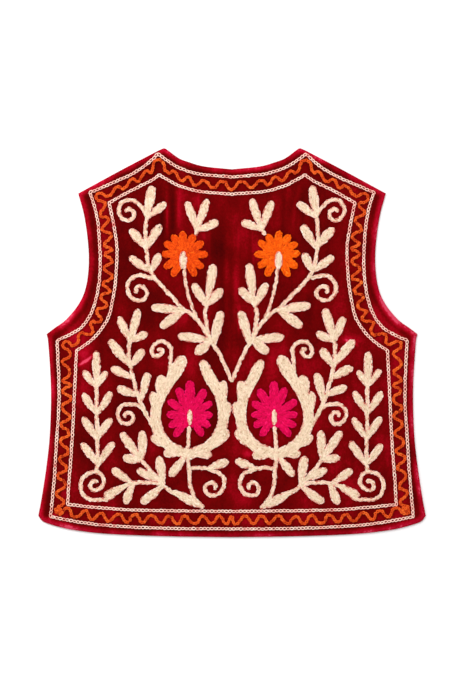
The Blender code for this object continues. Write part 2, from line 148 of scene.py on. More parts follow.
# A fork of leaves: where it stands (out, up) and how wide its leaves are, then each leaf as (degrees
# from straight up, towards the side seam, and length).
UPPER_FORKS = [
    (116, 432, 13.0, [(-9, 44)]),
    (115, 432, 10.9, [(-52, 32.5)]),
    (115, 390, 12.4, [(42.5, 37), (-30, 37)]),
    (109, 359, 11.3, [(56, 36), (-23, 28)]),
    (64, 306, 13.0, [(83.5, 45), (127, 40)]),
    (35, 313, 12.4, [(29, 35), (-45, 32)]),
    (33, 322, 12.6, [(-8, 49)]),
    (30, 266, 13.0, [(83, 43)]),
    (28, 265, 13.4, [(129, 28)]),
    (25.5, 257, 13.6, [(-12.5, 50)]),
]
SPRIG_FORKS = [(47.5, 415, 11.7, [(20, 41), (-18, 45)]), (47.5, 415, 11.5, [(-68, 31.5)])]
LOWER_FORKS = [
    (138, 265, 11.4, [(25, 36), (-65, 27)]),
    (138, 265, 12.6, [(-16, 45)]),
    (137, 231, 12.2, [(38, 46), (-36, 30)]),
    (134, 215, 11.6, [(63, 33)]),
    (127, 192, 11.8, [(70, 30)]),
    (123, 184, 12.2, [(-15, 38.5)]),
    (62, 110, 12.0, [(141, 35)]),
    (33, 93, 11.4, [(-69, 30)]),
    (122, 104, 12.6, [(-1, 39), (36, 47)]),
    (122, 104, 11.8, [(79, 25)]),
    (93, 70, 12.6, [(9, 40), (128, 39)]),
    (97, 77, 11.4, [(64, 35)]),
    (135, 73.5, 11.6, [(56, 33)]),
    (131.8, 73.5, 11.6, [(157, 32)]),
    (142, 71, 12.0, [(116, 34)]),
    (183, 203, 11.6, [(0, 48)]),
    (183, 203, 9.6, [(38, 30), (-31, 26)]),
    (183, 166, 10.8, [(33, 36), (-31, 37)]),
    (182.5, 131.5, 10.8, [(33, 36), (-34, 35)]),
    (181.5, 97, 11.2, [(36, 36), (-34, 39)]),
]
# The scalloped lobes of the teardrop: foot (out, up), tip (out, up) and width.
LOBES = [
    ((92, 199), (64.5, 245), 18.0),
    ((94.5, 181), (95.5, 219.5), 16.5),
    ((100, 158), (108.2, 197), 14.0),
    ((80, 120), (110, 136.5), 13.5),
    ((64, 115), (93, 112.5), 13.0),
    ((15, 186), (41, 239.5), 15.0),
    ((16, 170), (11.5, 211.5), 14.0),
    ((14, 147), (4, 182.5), 13.5),
    ((31, 119.5), (4.5, 144.5), 15.0),
    ((56, 114), (27.5, 110), 13.5),
]
# Stems as points (out, up) that a smooth line joins.
MAIN_STEM = [(115, 434), (117, 415), (116, 390), (111, 362), (99, 344), (82, 326), (67, 309), (54, 301),
             (39.5, 284), (29.3, 267), (17.8, 249), (8.8, 230), (3.2, 217.5), (0.4, 208.5)]
FLOWER_STEM = [(65, 365), (62, 340), (56, 317), (47, 294)]
UPPER_STEM = [(34, 326), (35, 313), (36.5, 300), (34, 285), (30, 268)]
SPRIG_STEM = [(47, 419), (48.5, 413), (50, 408)]
LOWER_STEMS = [
    [(138, 267), (139.5, 248), (137, 230), (131, 205), (125, 186), (117, 168), (106, 148)],
    [(57.5, 150), (59, 132), (60, 112), (58, 90), (56.5, 70), (51.5, 55), (44, 45)],
    [(122, 104), (112, 92), (99, 78), (93, 69)],
    [(94, 70), (79, 60), (64, 53)],
    [(94, 72), (115, 74), (134, 73), (150, 67)],
    [(183, 207), (182.5, 150), (181.5, 101), (184, 88)],
    [(57, 93), (40, 94), (28, 92)],
]
ARMS = [
    [(68, 237), (78, 220), (89.5, 203), (98, 187), (103, 170), (102.5, 153), (96, 136.5), (83, 122.4),
     (60, 111)],
    [(39, 233.5), (31, 219), (22, 203), (15, 187), (12, 169), (13, 152), (20, 136.5), (33, 122.4),
     (60, 111)],
]
# The long leaf at the foot of the lower vine: foot, tip and width.
FOOT_LEAF = ((80, 62), (36.5, 39.5), 12.8)
# Coiled tendrils: the points that lead from the stem, the centre of the first turn, the angle that it
# starts at and the angle that it turns through, the radius of it and of each half turn that follows,
# and the angle of the last of them.
UPPER_COILS = [
    ([(115, 433), (120, 443)], (138.8, 442), 140, -215, (14.2, 7.9, 3.9), 120),
    ([(107, 350)], (124.4, 336.8), 115, -200, (17.1, 9.8, 5.2), 150),
]
LOWER_COILS = [
    ([(84.5, 220), (83.6, 231), (82.8, 241)], (95.3, 251.4), 170, -170, (13.1, 7.0, 2.8), 170),
    ([(114, 163), (120, 173), (128, 178.6)], (140.8, 166.6), 104, -189, (13.5, 7.8, 3.9), 140),
    ([(160, 56), (170, 51)], (185.8, 69.2), -105, 200, (19.0, 12.2, 6.0, 3.0), 80),
    ([(34, 92.5)], (27.2, 73.1), 100, 170, (16.8, 8.9, 4.6), 150),
]
# Flowers: centre, radius within which the petals meet, then each petal as (degrees from straight up,
# towards the side seam, and reach).
ORANGE_FLOWER = (64.5, 383, 21.0, [(4, 31.5), (33, 31.5), (62, 31.5), (91, 31), (124, 33), (152, 35),
                             (-27, 30.5), (-57, 31), (-92, 31.5), (-126, 33), (-153, 34.5)])
PINK_FLOWER = (57, 165, 17.5, [(0, 47), (23.5, 41), (56, 37), (88, 32), (117, 32.5), (143, 36),
                         (-31, 41), (-59, 35), (-90, 31), (-118, 32), (-148, 34)])
PETAL_FOOT = 6.0  # how far from the centre the petals start
FLOWER_EYE = 6.4  # radius of the disc that is worked after the petals
PETAL_WIDE = 11.2
LONG_PETAL_WIDE = 0.30  # width of a long petal, as a share of its reach
# Seeds: centre, half length and half width.
ORANGE_SEED = (66, 374.5, 13.2, 5.0)
PINK_SEED = (57, 162, 11.3, 3.3)
# Where the right half strays from the mirror image of the left: the middle (out, up) and the reach
# outwards and upwards of each place, then how much nearer to the middle it lies, and how much higher.
DRIFTS = [
    (48, 266, 28, 22, 1.6, 2.9),
    (12, 240, 20, 25, 1.2, 0.0),
    (120, 130, 9, 25, 1.4, 0.0),
    (60, 440, 9, 20, 2.4, 0.0),
    (95, 309, 30, 12, 0.0, 3.0),
]
# The open chain stitches of the border: their length, width and thread, points round a loop and round
# its thread, and how far a stitch strays.
OUTER_CHAIN = dict(long=4.9, wide=5.0, radius=0.74, around=14, section=6, loose=0.14)
INNER_CHAIN = dict(OUTER_CHAIN, radius=0.76)
ZIGZAG_CHAIN = dict(long=3.3, wide=5.3, radius=1.2, around=12, section=5, loose=0.34)
# The hidden neckline of a front, from the end of the shoulder seam down to its foot.
FRONT_NECK = [(93, 520), (80, 498), (45, 438)]

# Creases of the back, from (x, up) to (x, up), half as wide as given next, and how high: below 0 is
# a trough. The first ten hang from the two ends of the neck.
CREASES = [
    (-101, 480, -98, 410, 4.0, 0.5), (-94, 482, -93, 402, 3.5, -0.8), (-89, 484, -88, 408, 3.0, 0.7),
    (-81, 484, -79, 398, 4.5, -0.9), (-73, 480, -71, 402, 5.5, 0.8), (-64, 474, -64, 418, 4.5, -0.5),
    (72, 478, 69, 396, 4.5, -0.8), (92, 484, 80, 404, 5.0, 0.8), (101, 480, 91, 400, 4.0, -0.7),
    (109, 474, 103, 420, 4.5, 0.4), (-3, 470, -3, 120, 4.0, -0.5), (-16, 458, -18, 250, 9.0, 0.45),
    (15, 452, 17, 245, 9.0, 0.4), (-212, 229, -184, 249, 5.0, -0.8), (-206, 222, -178, 241, 5.0, 0.7),
    (150, 272, 170, 262, 5.0, -0.6), (148, 281, 168, 270, 5.0, 0.5), (-252, 96, -228, 118, 7.0, 0.7),
    (-250, 84, -230, 102, 6.0, -0.6), (252, 128, 226, 112, 7.0, 0.6), (249, 117, 226, 100, 6.0, -0.5),
    (-150, 150, -176, 246, 11.0, 0.4), (158, 120, 172, 218, 11.0, 0.4), (-40, 30, -52, 4, 7.0, 0.4),
    (64, 32, 78, 5, 8.0, 0.4), (142, 36, 150, 9, 7.0, 0.35), (-168, 38, -180, 10, 8.0, 0.4),
]
# Patches where the pile is painted lighter, as sheen (above 0), and darker, as shade (below 0): x, up, reach
# across, reach upwards, and how much.
NAP_LIGHT_PATCHES = [
    (-88, 432, 3, 30, 0.6), (-71, 438, 6, 32, 0.5), (-94, 430, 3, 28, -0.5), (-80, 436, 4, 36, -0.8),
    (69, 440, 4, 34, -0.5), (96, 440, 3, 34, -0.3), (-103, 446, 4, 30, -0.2), (76, 470, 5, 12, 0.3),
    (-49, 452, 8, 14, 0.45), (-38, 406, 7, 8, 0.5), (-19, 394, 13, 24, -0.5), (15, 398, 13, 20, 0.35),
    (-8, 358, 3, 26, 0.4), (5, 340, 2.5, 40, 0.4), (-14, 330, 4, 60, -0.45), (-1, 320, 2, 60, -0.4),
    (36, 388, 6, 14, 0.5), (26, 362, 8, 10, -0.2), (10, 293, 2.5, 17, 1.1), (20, 292, 10, 22, 0.3),
    (0, 440, 60, 22, 0.12), (-3, 262, 6, 30, 0.25), (30, 400, 10, 60, 0.3), (-60, 350, 12, 24, 0.3),
    (-56, 228, 10, 30, 0.9), (56, 236, 9, 22, 0.05), (-57, 136, 14, 8, 0.4), (57, 136, 14, 8, 0.4),
    (-72, 300, 15, 18, 0.5), (74, 300, 15, 18, 0.3), (165, 88, 36, 30, 0.15), (-160, 92, 26, 20, 0.15),
    (0, 122, 22, 26, 0.45), (22, 113, 9, 5, 0.9), (-28, 110, 6, 5, 0.4), (-74, 240, 20, 20, 0.3),
    (86, 240, 18, 22, 0.5), (-1, 62, 20, 16, 0.05), (-128, 386, 30, 60, -0.2), (128, 384, 30, 56, -0.1),
    (-192, 74, 26, 34, 0.1), (112, 290, 26, 22, -0.1), (-112, 292, 26, 22, -0.2), (160, 268, 12, 5, 0.8),
    (180, 260, 80, 260, 0.35), (-150, 190, 12, 80, -0.35), (150, 196, 14, 40, 0.15),
    (-168, 400, 14, 70, 0.35), (-215, 268, 14, 18, 0.8), (-203, 246, 11, 11, 0.8),
    (-202, 290, 22, 34, 0.4), (-214, 200, 12, 60, 0.3), (200, 300, 24, 50, 0.2), (228, 245, 16, 40, 0.4),
    (-235, 55, 26, 26, 0.25), (-180, 52, 24, 20, 0.6), (-198, 400, 7, 70, -0.35), (0, 24, 400, 10, 0.45),
    (86, 180, 14, 40, 0.4), (-86, 180, 14, 40, 0.3), (30, 185, 10, 36, 0.5), (-26, 180, 10, 36, 0.1),
    (-40, 60, 60, 14, 0.25), (60, 60, 60, 14, 0.25), (145, 500, 30, 14, -0.8), (-243, 215, 8, 30, -0.35),
    (202, 420, 7, 40, -0.4), (170, 465, 14, 12, 0.5),
]
# Painted sheen where the pile is crushed into streaks: from (x, up) to (x, up), half width and how much
# lighter.
NAP_SHEEN_STREAKS = [
    (-210, 229, -184, 249, 4.0, 1.3), (150, 268, 172, 258, 3.0, 0.9), (-88, 478, -88, 408, 2.0, 0.4),
    (-72, 476, -71, 406, 4.0, 0.2), (92, 484, 80, 404, 5.0, 0.45), (-249, 24, -236, 34, 5.0, 0.9),
    (-258, 40, -254, 120, 3.5, 0.5), (-30, 452, -32, 260, 2.5, 0.25), (27, 448, 30, 262, 2.5, 0.3),
    (8, 440, 9, 262, 2.0, 0.2), (-46, 470, -44, 432, 3.0, 0.3), (44, 470, 46, 428, 3.0, 0.25),
]

NET = 2.2  # between the points of the back's fine mesh
EDGE_ROWS = (0.3, 0.9, 1.7, 2.8, 4.2, 6.0, 8.2, 10.4)  # of that mesh, from the edge inwards
UNDERSIDE_NET = 16.0  # the same for the back's underside and for the fronts
UNDERSIDE_ROWS = (0.9, 2.8)
FRONT_NET = 11.0
FRONT_ROWS = (0.4, 1.2, 2.4)
AT_ONCE = 20000  # points compared with a line in one step, to spare memory
MAP_STEP = 1.0
MAP_LOW = np.array([-280.0, -15.0])
MAP_SIZE = (561, 561)
SEED = 41

rng = np.random.default_rng(SEED)


# ---- lines and outlines, in millimetres


def smooth_line(rows, step):
    """Points about one step apart on a smooth line through the rows, both ends kept."""
    rows = np.array(rows, float)
    padded = np.vstack([2 * rows[0] - rows[1], rows, 2 * rows[-1] - rows[-2]])
    line = [rows[:1]]
    for before, start, end, after in zip(padded, padded[1:], padded[2:], padded[3:]):
        count = max(1, round(float(np.linalg.norm(end - start)) / step))
        t = (np.arange(count)[:, None] + 1) / count
        line.append(
            0.5 * (2 * start + (end - before) * t + (2 * before - 5 * start + 4 * end - after) * t**2
                   + (3 * start - before - 3 * end + after) * t**3)
        )
    return np.vstack(line)


def run_of(line):
    """Distance along a line to each of its points."""
    return np.append(0, np.cumsum(np.linalg.norm(np.diff(line, axis=0), axis=1)))


def points_at(at, line):
    """The points of a line at these distances along it."""
    run = run_of(line)
    return np.stack([np.interp(at, run, values) for values in line.T], axis=-1)


def evenly(line, count):
    """The line again, as count equal steps."""
    return points_at(np.linspace(0, run_of(line)[-1], count + 1), line)


def both_halves(half):
    """A closed line from its half on the right: up the left side to the neck, then down the right."""
    return np.vstack([half * (-1, 1), half[-2:0:-1]])


def closed_ring(sides, step):
    lines = [smooth_line(rows, step) for rows in sides.values()]
    return both_halves(np.vstack([line[:-1] for line in lines] + [lines[-1][-1:]]))


def unit(vectors):
    return vectors / np.maximum(np.linalg.norm(vectors, axis=1), 1e-9)[:, None]


def directions(line, closed=False):
    """Unit directions along a line, at its points."""
    if closed:
        return unit(np.roll(line, -1, axis=0) - np.roll(line, 1, axis=0))
    return unit(np.gradient(line, axis=0))


def left_of(along):
    return np.column_stack([-along[:, 1], along[:, 0]])


def signed_area(line):
    ahead = np.roll(line, -1, axis=0)
    return 0.5 * float((line[:, 0] * ahead[:, 1] - ahead[:, 0] * line[:, 1]).sum())


def inside(points, ring):
    """Which points lie inside a closed line, by the crossings to the right of each."""
    x, y = points[:, :1], points[:, 1:]
    ahead = np.roll(ring, -1, axis=0)
    spans = (ring[:, 1] > y) != (ahead[:, 1] > y)
    rise = np.where(spans, ahead[:, 1] - ring[:, 1], 1.0)
    crossing = ring[:, 0] + (y - ring[:, 1]) / rise * (ahead[:, 0] - ring[:, 0])
    return (spans & (crossing > x)).sum(axis=1) % 2 == 1


def nearest(points, ring):
    """How far each point lies from a closed line, and how far along the line its nearest place is."""
    along = np.roll(ring, -1, axis=0) - ring
    squared = (along**2).sum(axis=1)
    run = np.append(0, np.cumsum(np.sqrt(squared)))[:-1]
    distance, place = np.empty(len(points)), np.empty(len(points))
    for first in range(0, len(points), AT_ONCE):
        some = slice(first, first + AT_ONCE)
        dx = points[some, :1] - ring[:, 0]
        dy = points[some, 1:] - ring[:, 1]
        t = np.clip((dx * along[:, 0] + dy * along[:, 1]) / squared, 0, 1)
        apart = np.hypot(dx - t * along[:, 0], dy - t * along[:, 1])
        best = apart.argmin(axis=1)
        rows = np.arange(len(best))
        distance[some] = apart[rows, best]
        place[some] = run[best] + t[rows, best] * np.sqrt(squared)[best]
    return distance, place


def boxes_meet(line, other):
    """Whether the upright boxes round two lines overlap."""
    return (line.min(axis=0) < other.max(axis=0)).all() and (other.min(axis=0) < line.max(axis=0)).all()


def within_any(line, outlines):
    """Which points of a line lie inside one of the outlines."""
    found = np.zeros(len(line), bool)
    for outline in outlines:
        if boxes_meet(line, outline):
            found |= inside(line, outline)
    return found


def inset(outline, depth):
    """The outline moved inwards, or outwards below 0, without the points that a corner crowds."""
    moved = outline + left_of(directions(outline, closed=True)) * depth
    return moved[nearest(moved, outline)[0] > 0.9 * abs(depth)]


def triangulated(outlines, loose=()):
    """Triangles inside the outlines: flat points, corners, and which outlines each one lies in."""
    points, faces = [], []
    for outline in outlines:
        faces.append(list(range(len(points), len(points) + len(outline))))
        points += [Vector(point) for point in outline]
    points += [Vector(point) for point in loose]
    flat, _, triangles, _, _, origins = delaunay_2d_cdt(points, [], faces, 1, 1e-4)
    return np.array([tuple(point) for point in flat]), triangles, origins


# ---- maps of the back, one value a millimetre


def map_points():
    across, upwards = (low + MAP_STEP * np.arange(size) for low, size in zip(MAP_LOW, MAP_SIZE))
    return np.stack(np.meshgrid(across, upwards, indexing="ij"), axis=-1).reshape(-1, 2)


def read_map(values, points):
    """The map's value at each point, blended from the four around it."""
    at = (points - MAP_LOW) / MAP_STEP
    cell = np.clip(np.floor(at).astype(int), 0, np.array(MAP_SIZE) - 2)
    (i, j), (u, v) = cell.T, np.clip(at - cell, 0, 1).T
    return (values[i, j] * (1 - u) * (1 - v) + values[i + 1, j] * u * (1 - v)
            + values[i, j + 1] * (1 - u) * v + values[i + 1, j + 1] * u * v)


def softened(values, reach):
    """The map blurred by a box of this reach, three times over."""
    for _ in range(3):
        for axis in (0, 1):
            shifted = [np.roll(values, shift, axis) for shift in range(-reach, reach + 1)]
            values = sum(shifted) / len(shifted)
    return values


def noise_along(place, period, seed):
    """Smooth noise from about -1 to 1 along the edge, the same where the edge closes."""
    generator = np.random.default_rng(seed)
    total = 0.0
    for finer in (1, 2, 4):
        turns = max(1, round(EDGE_LONG / period * finer))
        for waves in (turns, turns + 3):
            start = generator.uniform(0, 6.28)
            total += np.sin(2 * math.pi * waves * place / EDGE_LONG + start) / finer
    return total / 3


def ridges(points, rows):
    """Creases or streaks added up: each is full on its middle line and 0 beyond its sides and ends."""
    total = np.zeros(len(points))
    for x, up, to_x, to_up, half, amount in rows:
        along = np.array([to_x - x, to_up - up], float)
        length = np.linalg.norm(along)
        along /= length
        t = (points - (x, up)) @ along / length
        off = (points - (x, up)) @ np.array([-along[1], along[0]]) + 0.18 * half * np.sin(t * 7.0 + x)
        across = np.clip(np.abs(off) / half, 0, 1)
        lengthwise = np.clip(np.abs(2 * t - 1), 0, 1)
        total += amount * np.cos(across * math.pi / 2) ** 2 * np.cos(lengthwise**2 * math.pi / 2)
    return total


def smooth_height(points, inward, place):
    """Height of the velvet before the stitches press it down."""
    x, y = points.T
    rise = np.clip(inward / RIM, 0, 1)
    ripple = RIPPLE * np.sin(x / RIPPLE_ACROSS + 0.6) * np.cos(y / RIPPLE_UP - 0.4)
    ends = [np.hypot(np.abs(x) - out, y - up) for out, up in (EDGE["shoulder"][0], EDGE["point"][1])]
    free = np.clip(np.min(ends, axis=0) / PINNED, 0, 1)
    free = free**2 * (3 - 2 * free)
    height = FRONT + GAP + CLOTH + (LOFT + ripple) * free * (1 - (1 - rise) ** 2)
    height += ridges(points, CREASES) * rise
    roll = np.sin(np.clip((inward - 0.5) / ROLL_WIDE, 0, 1) * math.pi) ** 2
    height += ROLL * roll * (1 + 0.4 * noise_along(place, ROLL_LONG, SEED + 1)) * (0.35 + 0.65 * free)
    border = np.clip((inward - 2.0) / 8.0, 0, 1) * np.clip((PUCKER_WIDE - inward) / 12.0, 0, 1)
    height += PUCKER * border * np.sin(2 * math.pi * place / PUCKER_LONG + 1.5 * np.sin(place / 90.0))
    return height


EDGE_RING = closed_ring(EDGE, COARSE_STEP)
EDGE_LONG = float(np.linalg.norm(np.roll(EDGE_RING, -1, axis=0) - EDGE_RING, axis=1).sum())


def make_maps():
    points = map_points()
    inward, place = nearest(points, EDGE_RING)
    inward = np.where(inside(points, EDGE_RING), inward, -inward)
    height = smooth_height(points, np.maximum(inward, 0), place)
    return [values.reshape(MAP_SIZE) for values in (inward, place, height)]


INWARD, PLACE, HEIGHT = make_maps()


def on_cloth(points):
    """Where the foot of a stitch lies, in the trough that it presses."""
    return read_map(HEIGHT, points) - 0.9 * SINK


# ---- stitches


def open_runs(kept):
    """(start, end) of each stretch that is kept, of two points or more."""
    edges = np.flatnonzero(np.diff(np.concatenate([[False], kept, [False]]).astype(int)))
    return [(a, b) for a, b in zip(edges[::2], edges[1::2]) if b - a > 1]


def closed_runs(line, kept):
    """The stretches of a closed line whose points are kept."""
    if kept.all():
        return [np.vstack([line, line[:1]])]
    first = int(np.argmin(kept))
    line, kept = np.roll(line, -first, axis=0), np.roll(kept, -first)
    return [line[a:b] for a, b in open_runs(kept)]


def band(axis, half):
    """A stroke with rounded ends: its outline, anticlockwise and in even steps, and its axis."""
    run = run_of(axis)
    to_end = np.minimum(run, run[-1] - run)
    half = half * np.sqrt(np.clip((to_end + 0.25) / END_ROUND, 0, 1))
    across = left_of(directions(axis)) * half[:, None]
    outline = np.vstack([axis - across, (axis + across)[::-1], (axis - across)[:1]])
    outline = evenly(outline, round(run_of(outline)[-1] / OUTLINE_STEP))[:-1]
    return (outline if signed_area(outline) > 0 else outline[::-1]), axis


def rows_of(stroke):
    """Rows that follow a stroke's outline inwards, then one along what is left of its middle.

    Each row is (points, widths, 1 at each point if it is outermost)."""
    outline, axis = stroke
    inward = left_of(directions(outline, closed=True))
    rows = []
    for k in range(MOST_ROWS):
        depth = (k + 0.5) * ROW
        line = outline + inward * depth
        deeper = outline + inward * (depth + ROW / 2)
        fits = nearest(line, outline)[0] > depth - 0.08
        fits &= nearest(deeper, outline)[0] > depth + ROW / 2 - 0.3
        fits &= inside(deeper, outline)
        found = [run for run in closed_runs(line, fits) if len(run) > 2]
        if not found:
            break
        rows += [(run, np.full(len(run), STITCH_WIDE), np.full(len(run), float(k == 0))) for run in found]
    room = nearest(axis, outline)[0]
    left = 2 * (room - np.floor(room / ROW) * ROW)
    for a, b in open_runs((left > 0.5 * ROW) & inside(axis, outline)):
        rows.append((axis[a:b], np.minimum(1.1 * left[a:b], WIDEST_MIDDLE), np.zeros(b - a)))
    return rows


def clipped(rows, covered):
    """The rows without what lies inside the strokes that were worked before."""
    return [(line[a:b], widths[a:b], outermost[a:b])
            for line, widths, outermost in rows for a, b in open_runs(~within_any(line, covered))]


def in_open(rows, others):
    """The rows, with those beside another stroke no longer marked as outermost."""
    return [(line, widths, outermost * ~within_any(line, others)) for line, widths, outermost in rows]


def stitches_along(rows, long):
    """Even stitches along each row: places, directions, lengths, widths and which are outermost."""
    found = []
    for line, widths, outermost in rows:
        run = run_of(line)
        if run[-1] < 0.5 * long:
            continue
        count = max(1, round(run[-1] / (long * (1 + EDGE_LONGER * outermost.mean()))))
        at = (np.arange(count) + 0.5) * run[-1] / count
        behind, ahead = (points_at(at + share * run[-1] / count, line) for share in (-0.35, 0.35))
        found.append((points_at(at, line), unit(ahead - behind), np.full(count, run[-1] / count),
                      np.interp(at, run, widths), np.interp(at, run, outermost)))
    return [np.concatenate(part) for part in zip(*found)]


def stitch_template():
    """A closed chain stitch in shares of its length, width and height: a rim, a crest and a slit.

    Its narrow start lies on the round end of the stitch before. The last values are painted light and shade:
    the crest is painted lit, the rim half so, and the slit between the two threads is painted as dark shade."""
    turn = np.linspace(0, 2 * math.pi, 8, endpoint=False)
    along, across = np.cos(turn), np.sin(turn) * (0.84 + 0.16 * np.cos(turn))
    rim = np.column_stack([0.62 * along, 0.60 * across, np.zeros(8)])
    crest = np.column_stack([0.43 * along, 0.35 * across, 0.90 - 0.10 * along])
    points = np.vstack([rim, crest, [[0.20, 0.0, 0.36], [-0.18, 0.0, 0.44]]])
    around = np.arange(8)
    ahead = (around + 1) % 8
    sides = np.column_stack([around, ahead, ahead + 8, around + 8])
    top = np.column_stack([around + 8, ahead + 8, np.where((around + 2) % 8 < 4, 16, 17)])
    slit = [[10, 17, 16], [14, 16, 17]]
    light = np.concatenate([np.full(8, 0.5), np.ones(8), [0.0, 0.0]])
    return points, [*sides.tolist(), *top.tolist(), *slit, list(range(7, -1, -1))], light


def loop_template(around, section):
    """An open chain stitch: the middle of its looped thread, the section round that, plies and faces.

    The loop starts and ends at its narrow tail, which lies on the round head of the loop before."""
    turn = np.repeat(np.linspace(-math.pi, math.pi, around, endpoint=False), section)
    round_thread = np.tile(np.linspace(0, 2 * math.pi, section, endpoint=False), around)
    wide = 0.82 + 0.18 * np.cos(turn)
    middle = np.column_stack([0.5 * np.cos(turn), 0.5 * np.sin(turn) * wide, 0.5 - 0.5 * np.cos(turn)])
    outwards = np.sin(round_thread)
    section_at = np.column_stack([outwards * np.cos(turn), outwards * np.sin(turn), -np.cos(round_thread)])
    i, k = np.divmod(np.arange(around * section), section)
    i2, k2 = (i + 1) % around, (k + 1) % section
    faces = np.column_stack([i * section + k, i * section + k2, i2 * section + k2, i2 * section + k])
    return middle, section_at, np.column_stack([turn, round_thread]), faces.tolist()


def counted_from(first, faces):
    """The faces, with their corners' numbers counted from first."""
    return [[corner + first for corner in face] for face in faces]


def copies(faces, count, points_each):
    """The faces of a template, once for each stitch."""
    return [face for k in range(count) for face in counted_from(k * points_each, faces)]


def strayed(place, way, degrees, reach):
    """Stitches moved and turned a little at random, as in work done by hand."""
    turn = rng.normal(0, math.radians(degrees), len(way))[:, None]
    way = way * np.cos(turn) + left_of(way) * np.sin(turn)
    return place + rng.normal(0, 1, place.shape) * reach, way


def laid_flat(place, way, along, across):
    """The flat points of all stitches, from where each point lies along and across its own."""
    flat = place[:, None] + way[:, None] * along[..., None] + left_of(way)[:, None] * across[..., None]
    return flat.reshape(-1, 2)


def filled_stitches(rows, lift):
    """Closed stitches along the rows: points, faces, and each point's tone, painted light and shade, and
    strand.
    """
    place, way, length, wide, edge = stitches_along(rows, STITCH_LONG)
    count = len(place)
    template, faces, light = stitch_template()
    place, way = strayed(place, way, FILLED_TURN, (STRAY + EDGE_STRAY * edge)[:, None])
    size = rng.uniform(0.9, 1.18, (count, 3)) + edge[:, None] * (0.0, EDGE_WIDER, 0.0)
    along, across, up = (template[:, k] * (full * size[:, k])[:, None]
                         for k, full in enumerate((length, wide, STITCH_HIGH)))
    flat = laid_flat(place, way, along, across)
    points = np.column_stack([flat, on_cloth(flat) + lift + up.ravel()])
    tone = np.repeat(rng.normal(0, 1, count), len(template))
    strand = np.column_stack([along.ravel(), np.abs(across).ravel(), np.repeat(edge, len(template))])
    return points, copies(faces, count, len(template)), tone, np.tile(light, count), strand


def looped_stitches(line, long, wide, radius, around, section, loose):
    """Open loops of thread along a closed line, told as filled_stitches tells its own."""
    closed = np.vstack([line, line[:1]])
    count = round(run_of(closed)[-1] / long)
    row = (closed, np.ones(len(closed)), np.zeros(len(closed)))
    place, way, length, *_ = stitches_along([row], run_of(closed)[-1] / count)
    wide = wide * rng.uniform(0.9, 1.1, count)[:, None]
    radius = radius * rng.uniform(0.92, 1.08, count)[:, None]
    middle, section_at, ply, faces = loop_template(around, section)
    place, way = strayed(place, way, CHAIN_TURN, loose)
    along = middle[:, 0] * (1.25 * length[:, None] - 0.8 * radius) + section_at[:, 0] * radius
    across = middle[:, 1] * (wide - 2 * radius) + section_at[:, 1] * radius
    up = (0.5 * middle[:, 2] + section_at[:, 2] + 0.8) * radius
    flat = laid_flat(place, way, along, across)
    points = np.column_stack([flat, on_cloth(flat) + up.ravel()])
    tone = np.repeat(rng.normal(0, 1, count), len(middle))
    # painted light: the top of each loop's thread is lit, its underside painted as shade
    light = np.tile((section_at[:, 2] + 1) / 2, count)
    plies = np.column_stack([ply * (THREAD_TURN, 2 / PLY_ACROSS), np.zeros(len(ply))])
    return points, copies(faces, count, len(middle)), tone, light, np.tile(plies, (count, 1))


def under_thread(outlines, holes, lift):
    """A low pad under filled rows, as one closed shell that follows the cloth and leaves out the holes."""
    flat, triangles, origins = triangulated([*outlines, *holes])
    triangles = [face for face, origin in zip(triangles, origins) if origin and max(origin) < len(outlines)]
    used, triangles = np.unique(np.array(triangles), return_inverse=True)
    flat, triangles = flat[used], triangles.reshape(-1, 3)
    ends = np.concatenate([triangles[:, [0, 1]], triangles[:, [1, 2]], triangles[:, [2, 0]]]).tolist()
    seen = {tuple(edge) for edge in ends}
    rim = np.array([edge for edge in ends if (edge[1], edge[0]) not in seen])
    count = len(flat)
    floor = on_cloth(flat) + lift
    shell = np.vstack([np.column_stack([flat, floor + PAD]), np.column_stack([flat, floor - PAD])])
    walls = np.column_stack([rim[:, 1], rim[:, 0], rim[:, 0] + count, rim[:, 1] + count])
    return shell, [*triangles.tolist(), *(triangles[:, ::-1] + count).tolist(), *walls.tolist()]


def joined(parts):
    """Several sets of points, faces, tone, painted light and strand as one."""
    points, faces, *others = zip(*parts)
    firsts = np.cumsum([0, *(len(some) for some in points[:-1])]).tolist()
    together = [face for first, some in zip(firsts, faces) for face in counted_from(first, some)]
    return np.vstack(points), together, *(np.concatenate(some) for some in others)


def worked(strokes, lift, around=()):
    """Strokes filled with rows of stitches over one pad, each up to those before it and around it."""
    rows, covered = [], [inset(outline, -0.4) for outline, _ in around]
    grown = [inset(outline, -0.5) for outline, _ in strokes]
    for k, stroke in enumerate(strokes):
        rows += in_open(clipped(rows_of(stroke), covered), grown[:k] + grown[k + 1:])
        covered.append(inset(stroke[0], OVERLAP))
    stitches = filled_stitches(rows, lift)
    pads = [inset(outline, PAD_INSET)[::2] for outline, _ in strokes]
    holes = [outline[::2] for outline, _ in around if boxes_meet(outline, np.vstack(pads))]
    pad, faces = under_thread([pad for pad in pads if signed_area(pad) > 8], holes, lift)
    more = len(pad)
    return joined([stitches, (pad, faces, np.zeros(more), np.full(more, PAD_LIGHT), np.zeros((more, 3)))])


# ---- motifs


def wobble(run, amount, period):
    """A slow sideways drift along a line, as of one drawn by hand."""
    first, second = rng.uniform(0.8, 1.3, 2) * (1.0, 0.43) * period
    start, other = rng.uniform(0, 2 * math.pi, 2)
    slow = np.sin(2 * math.pi * run / first + start)
    return amount * (slow + 0.6 * np.sin(2 * math.pi * run / second + other))


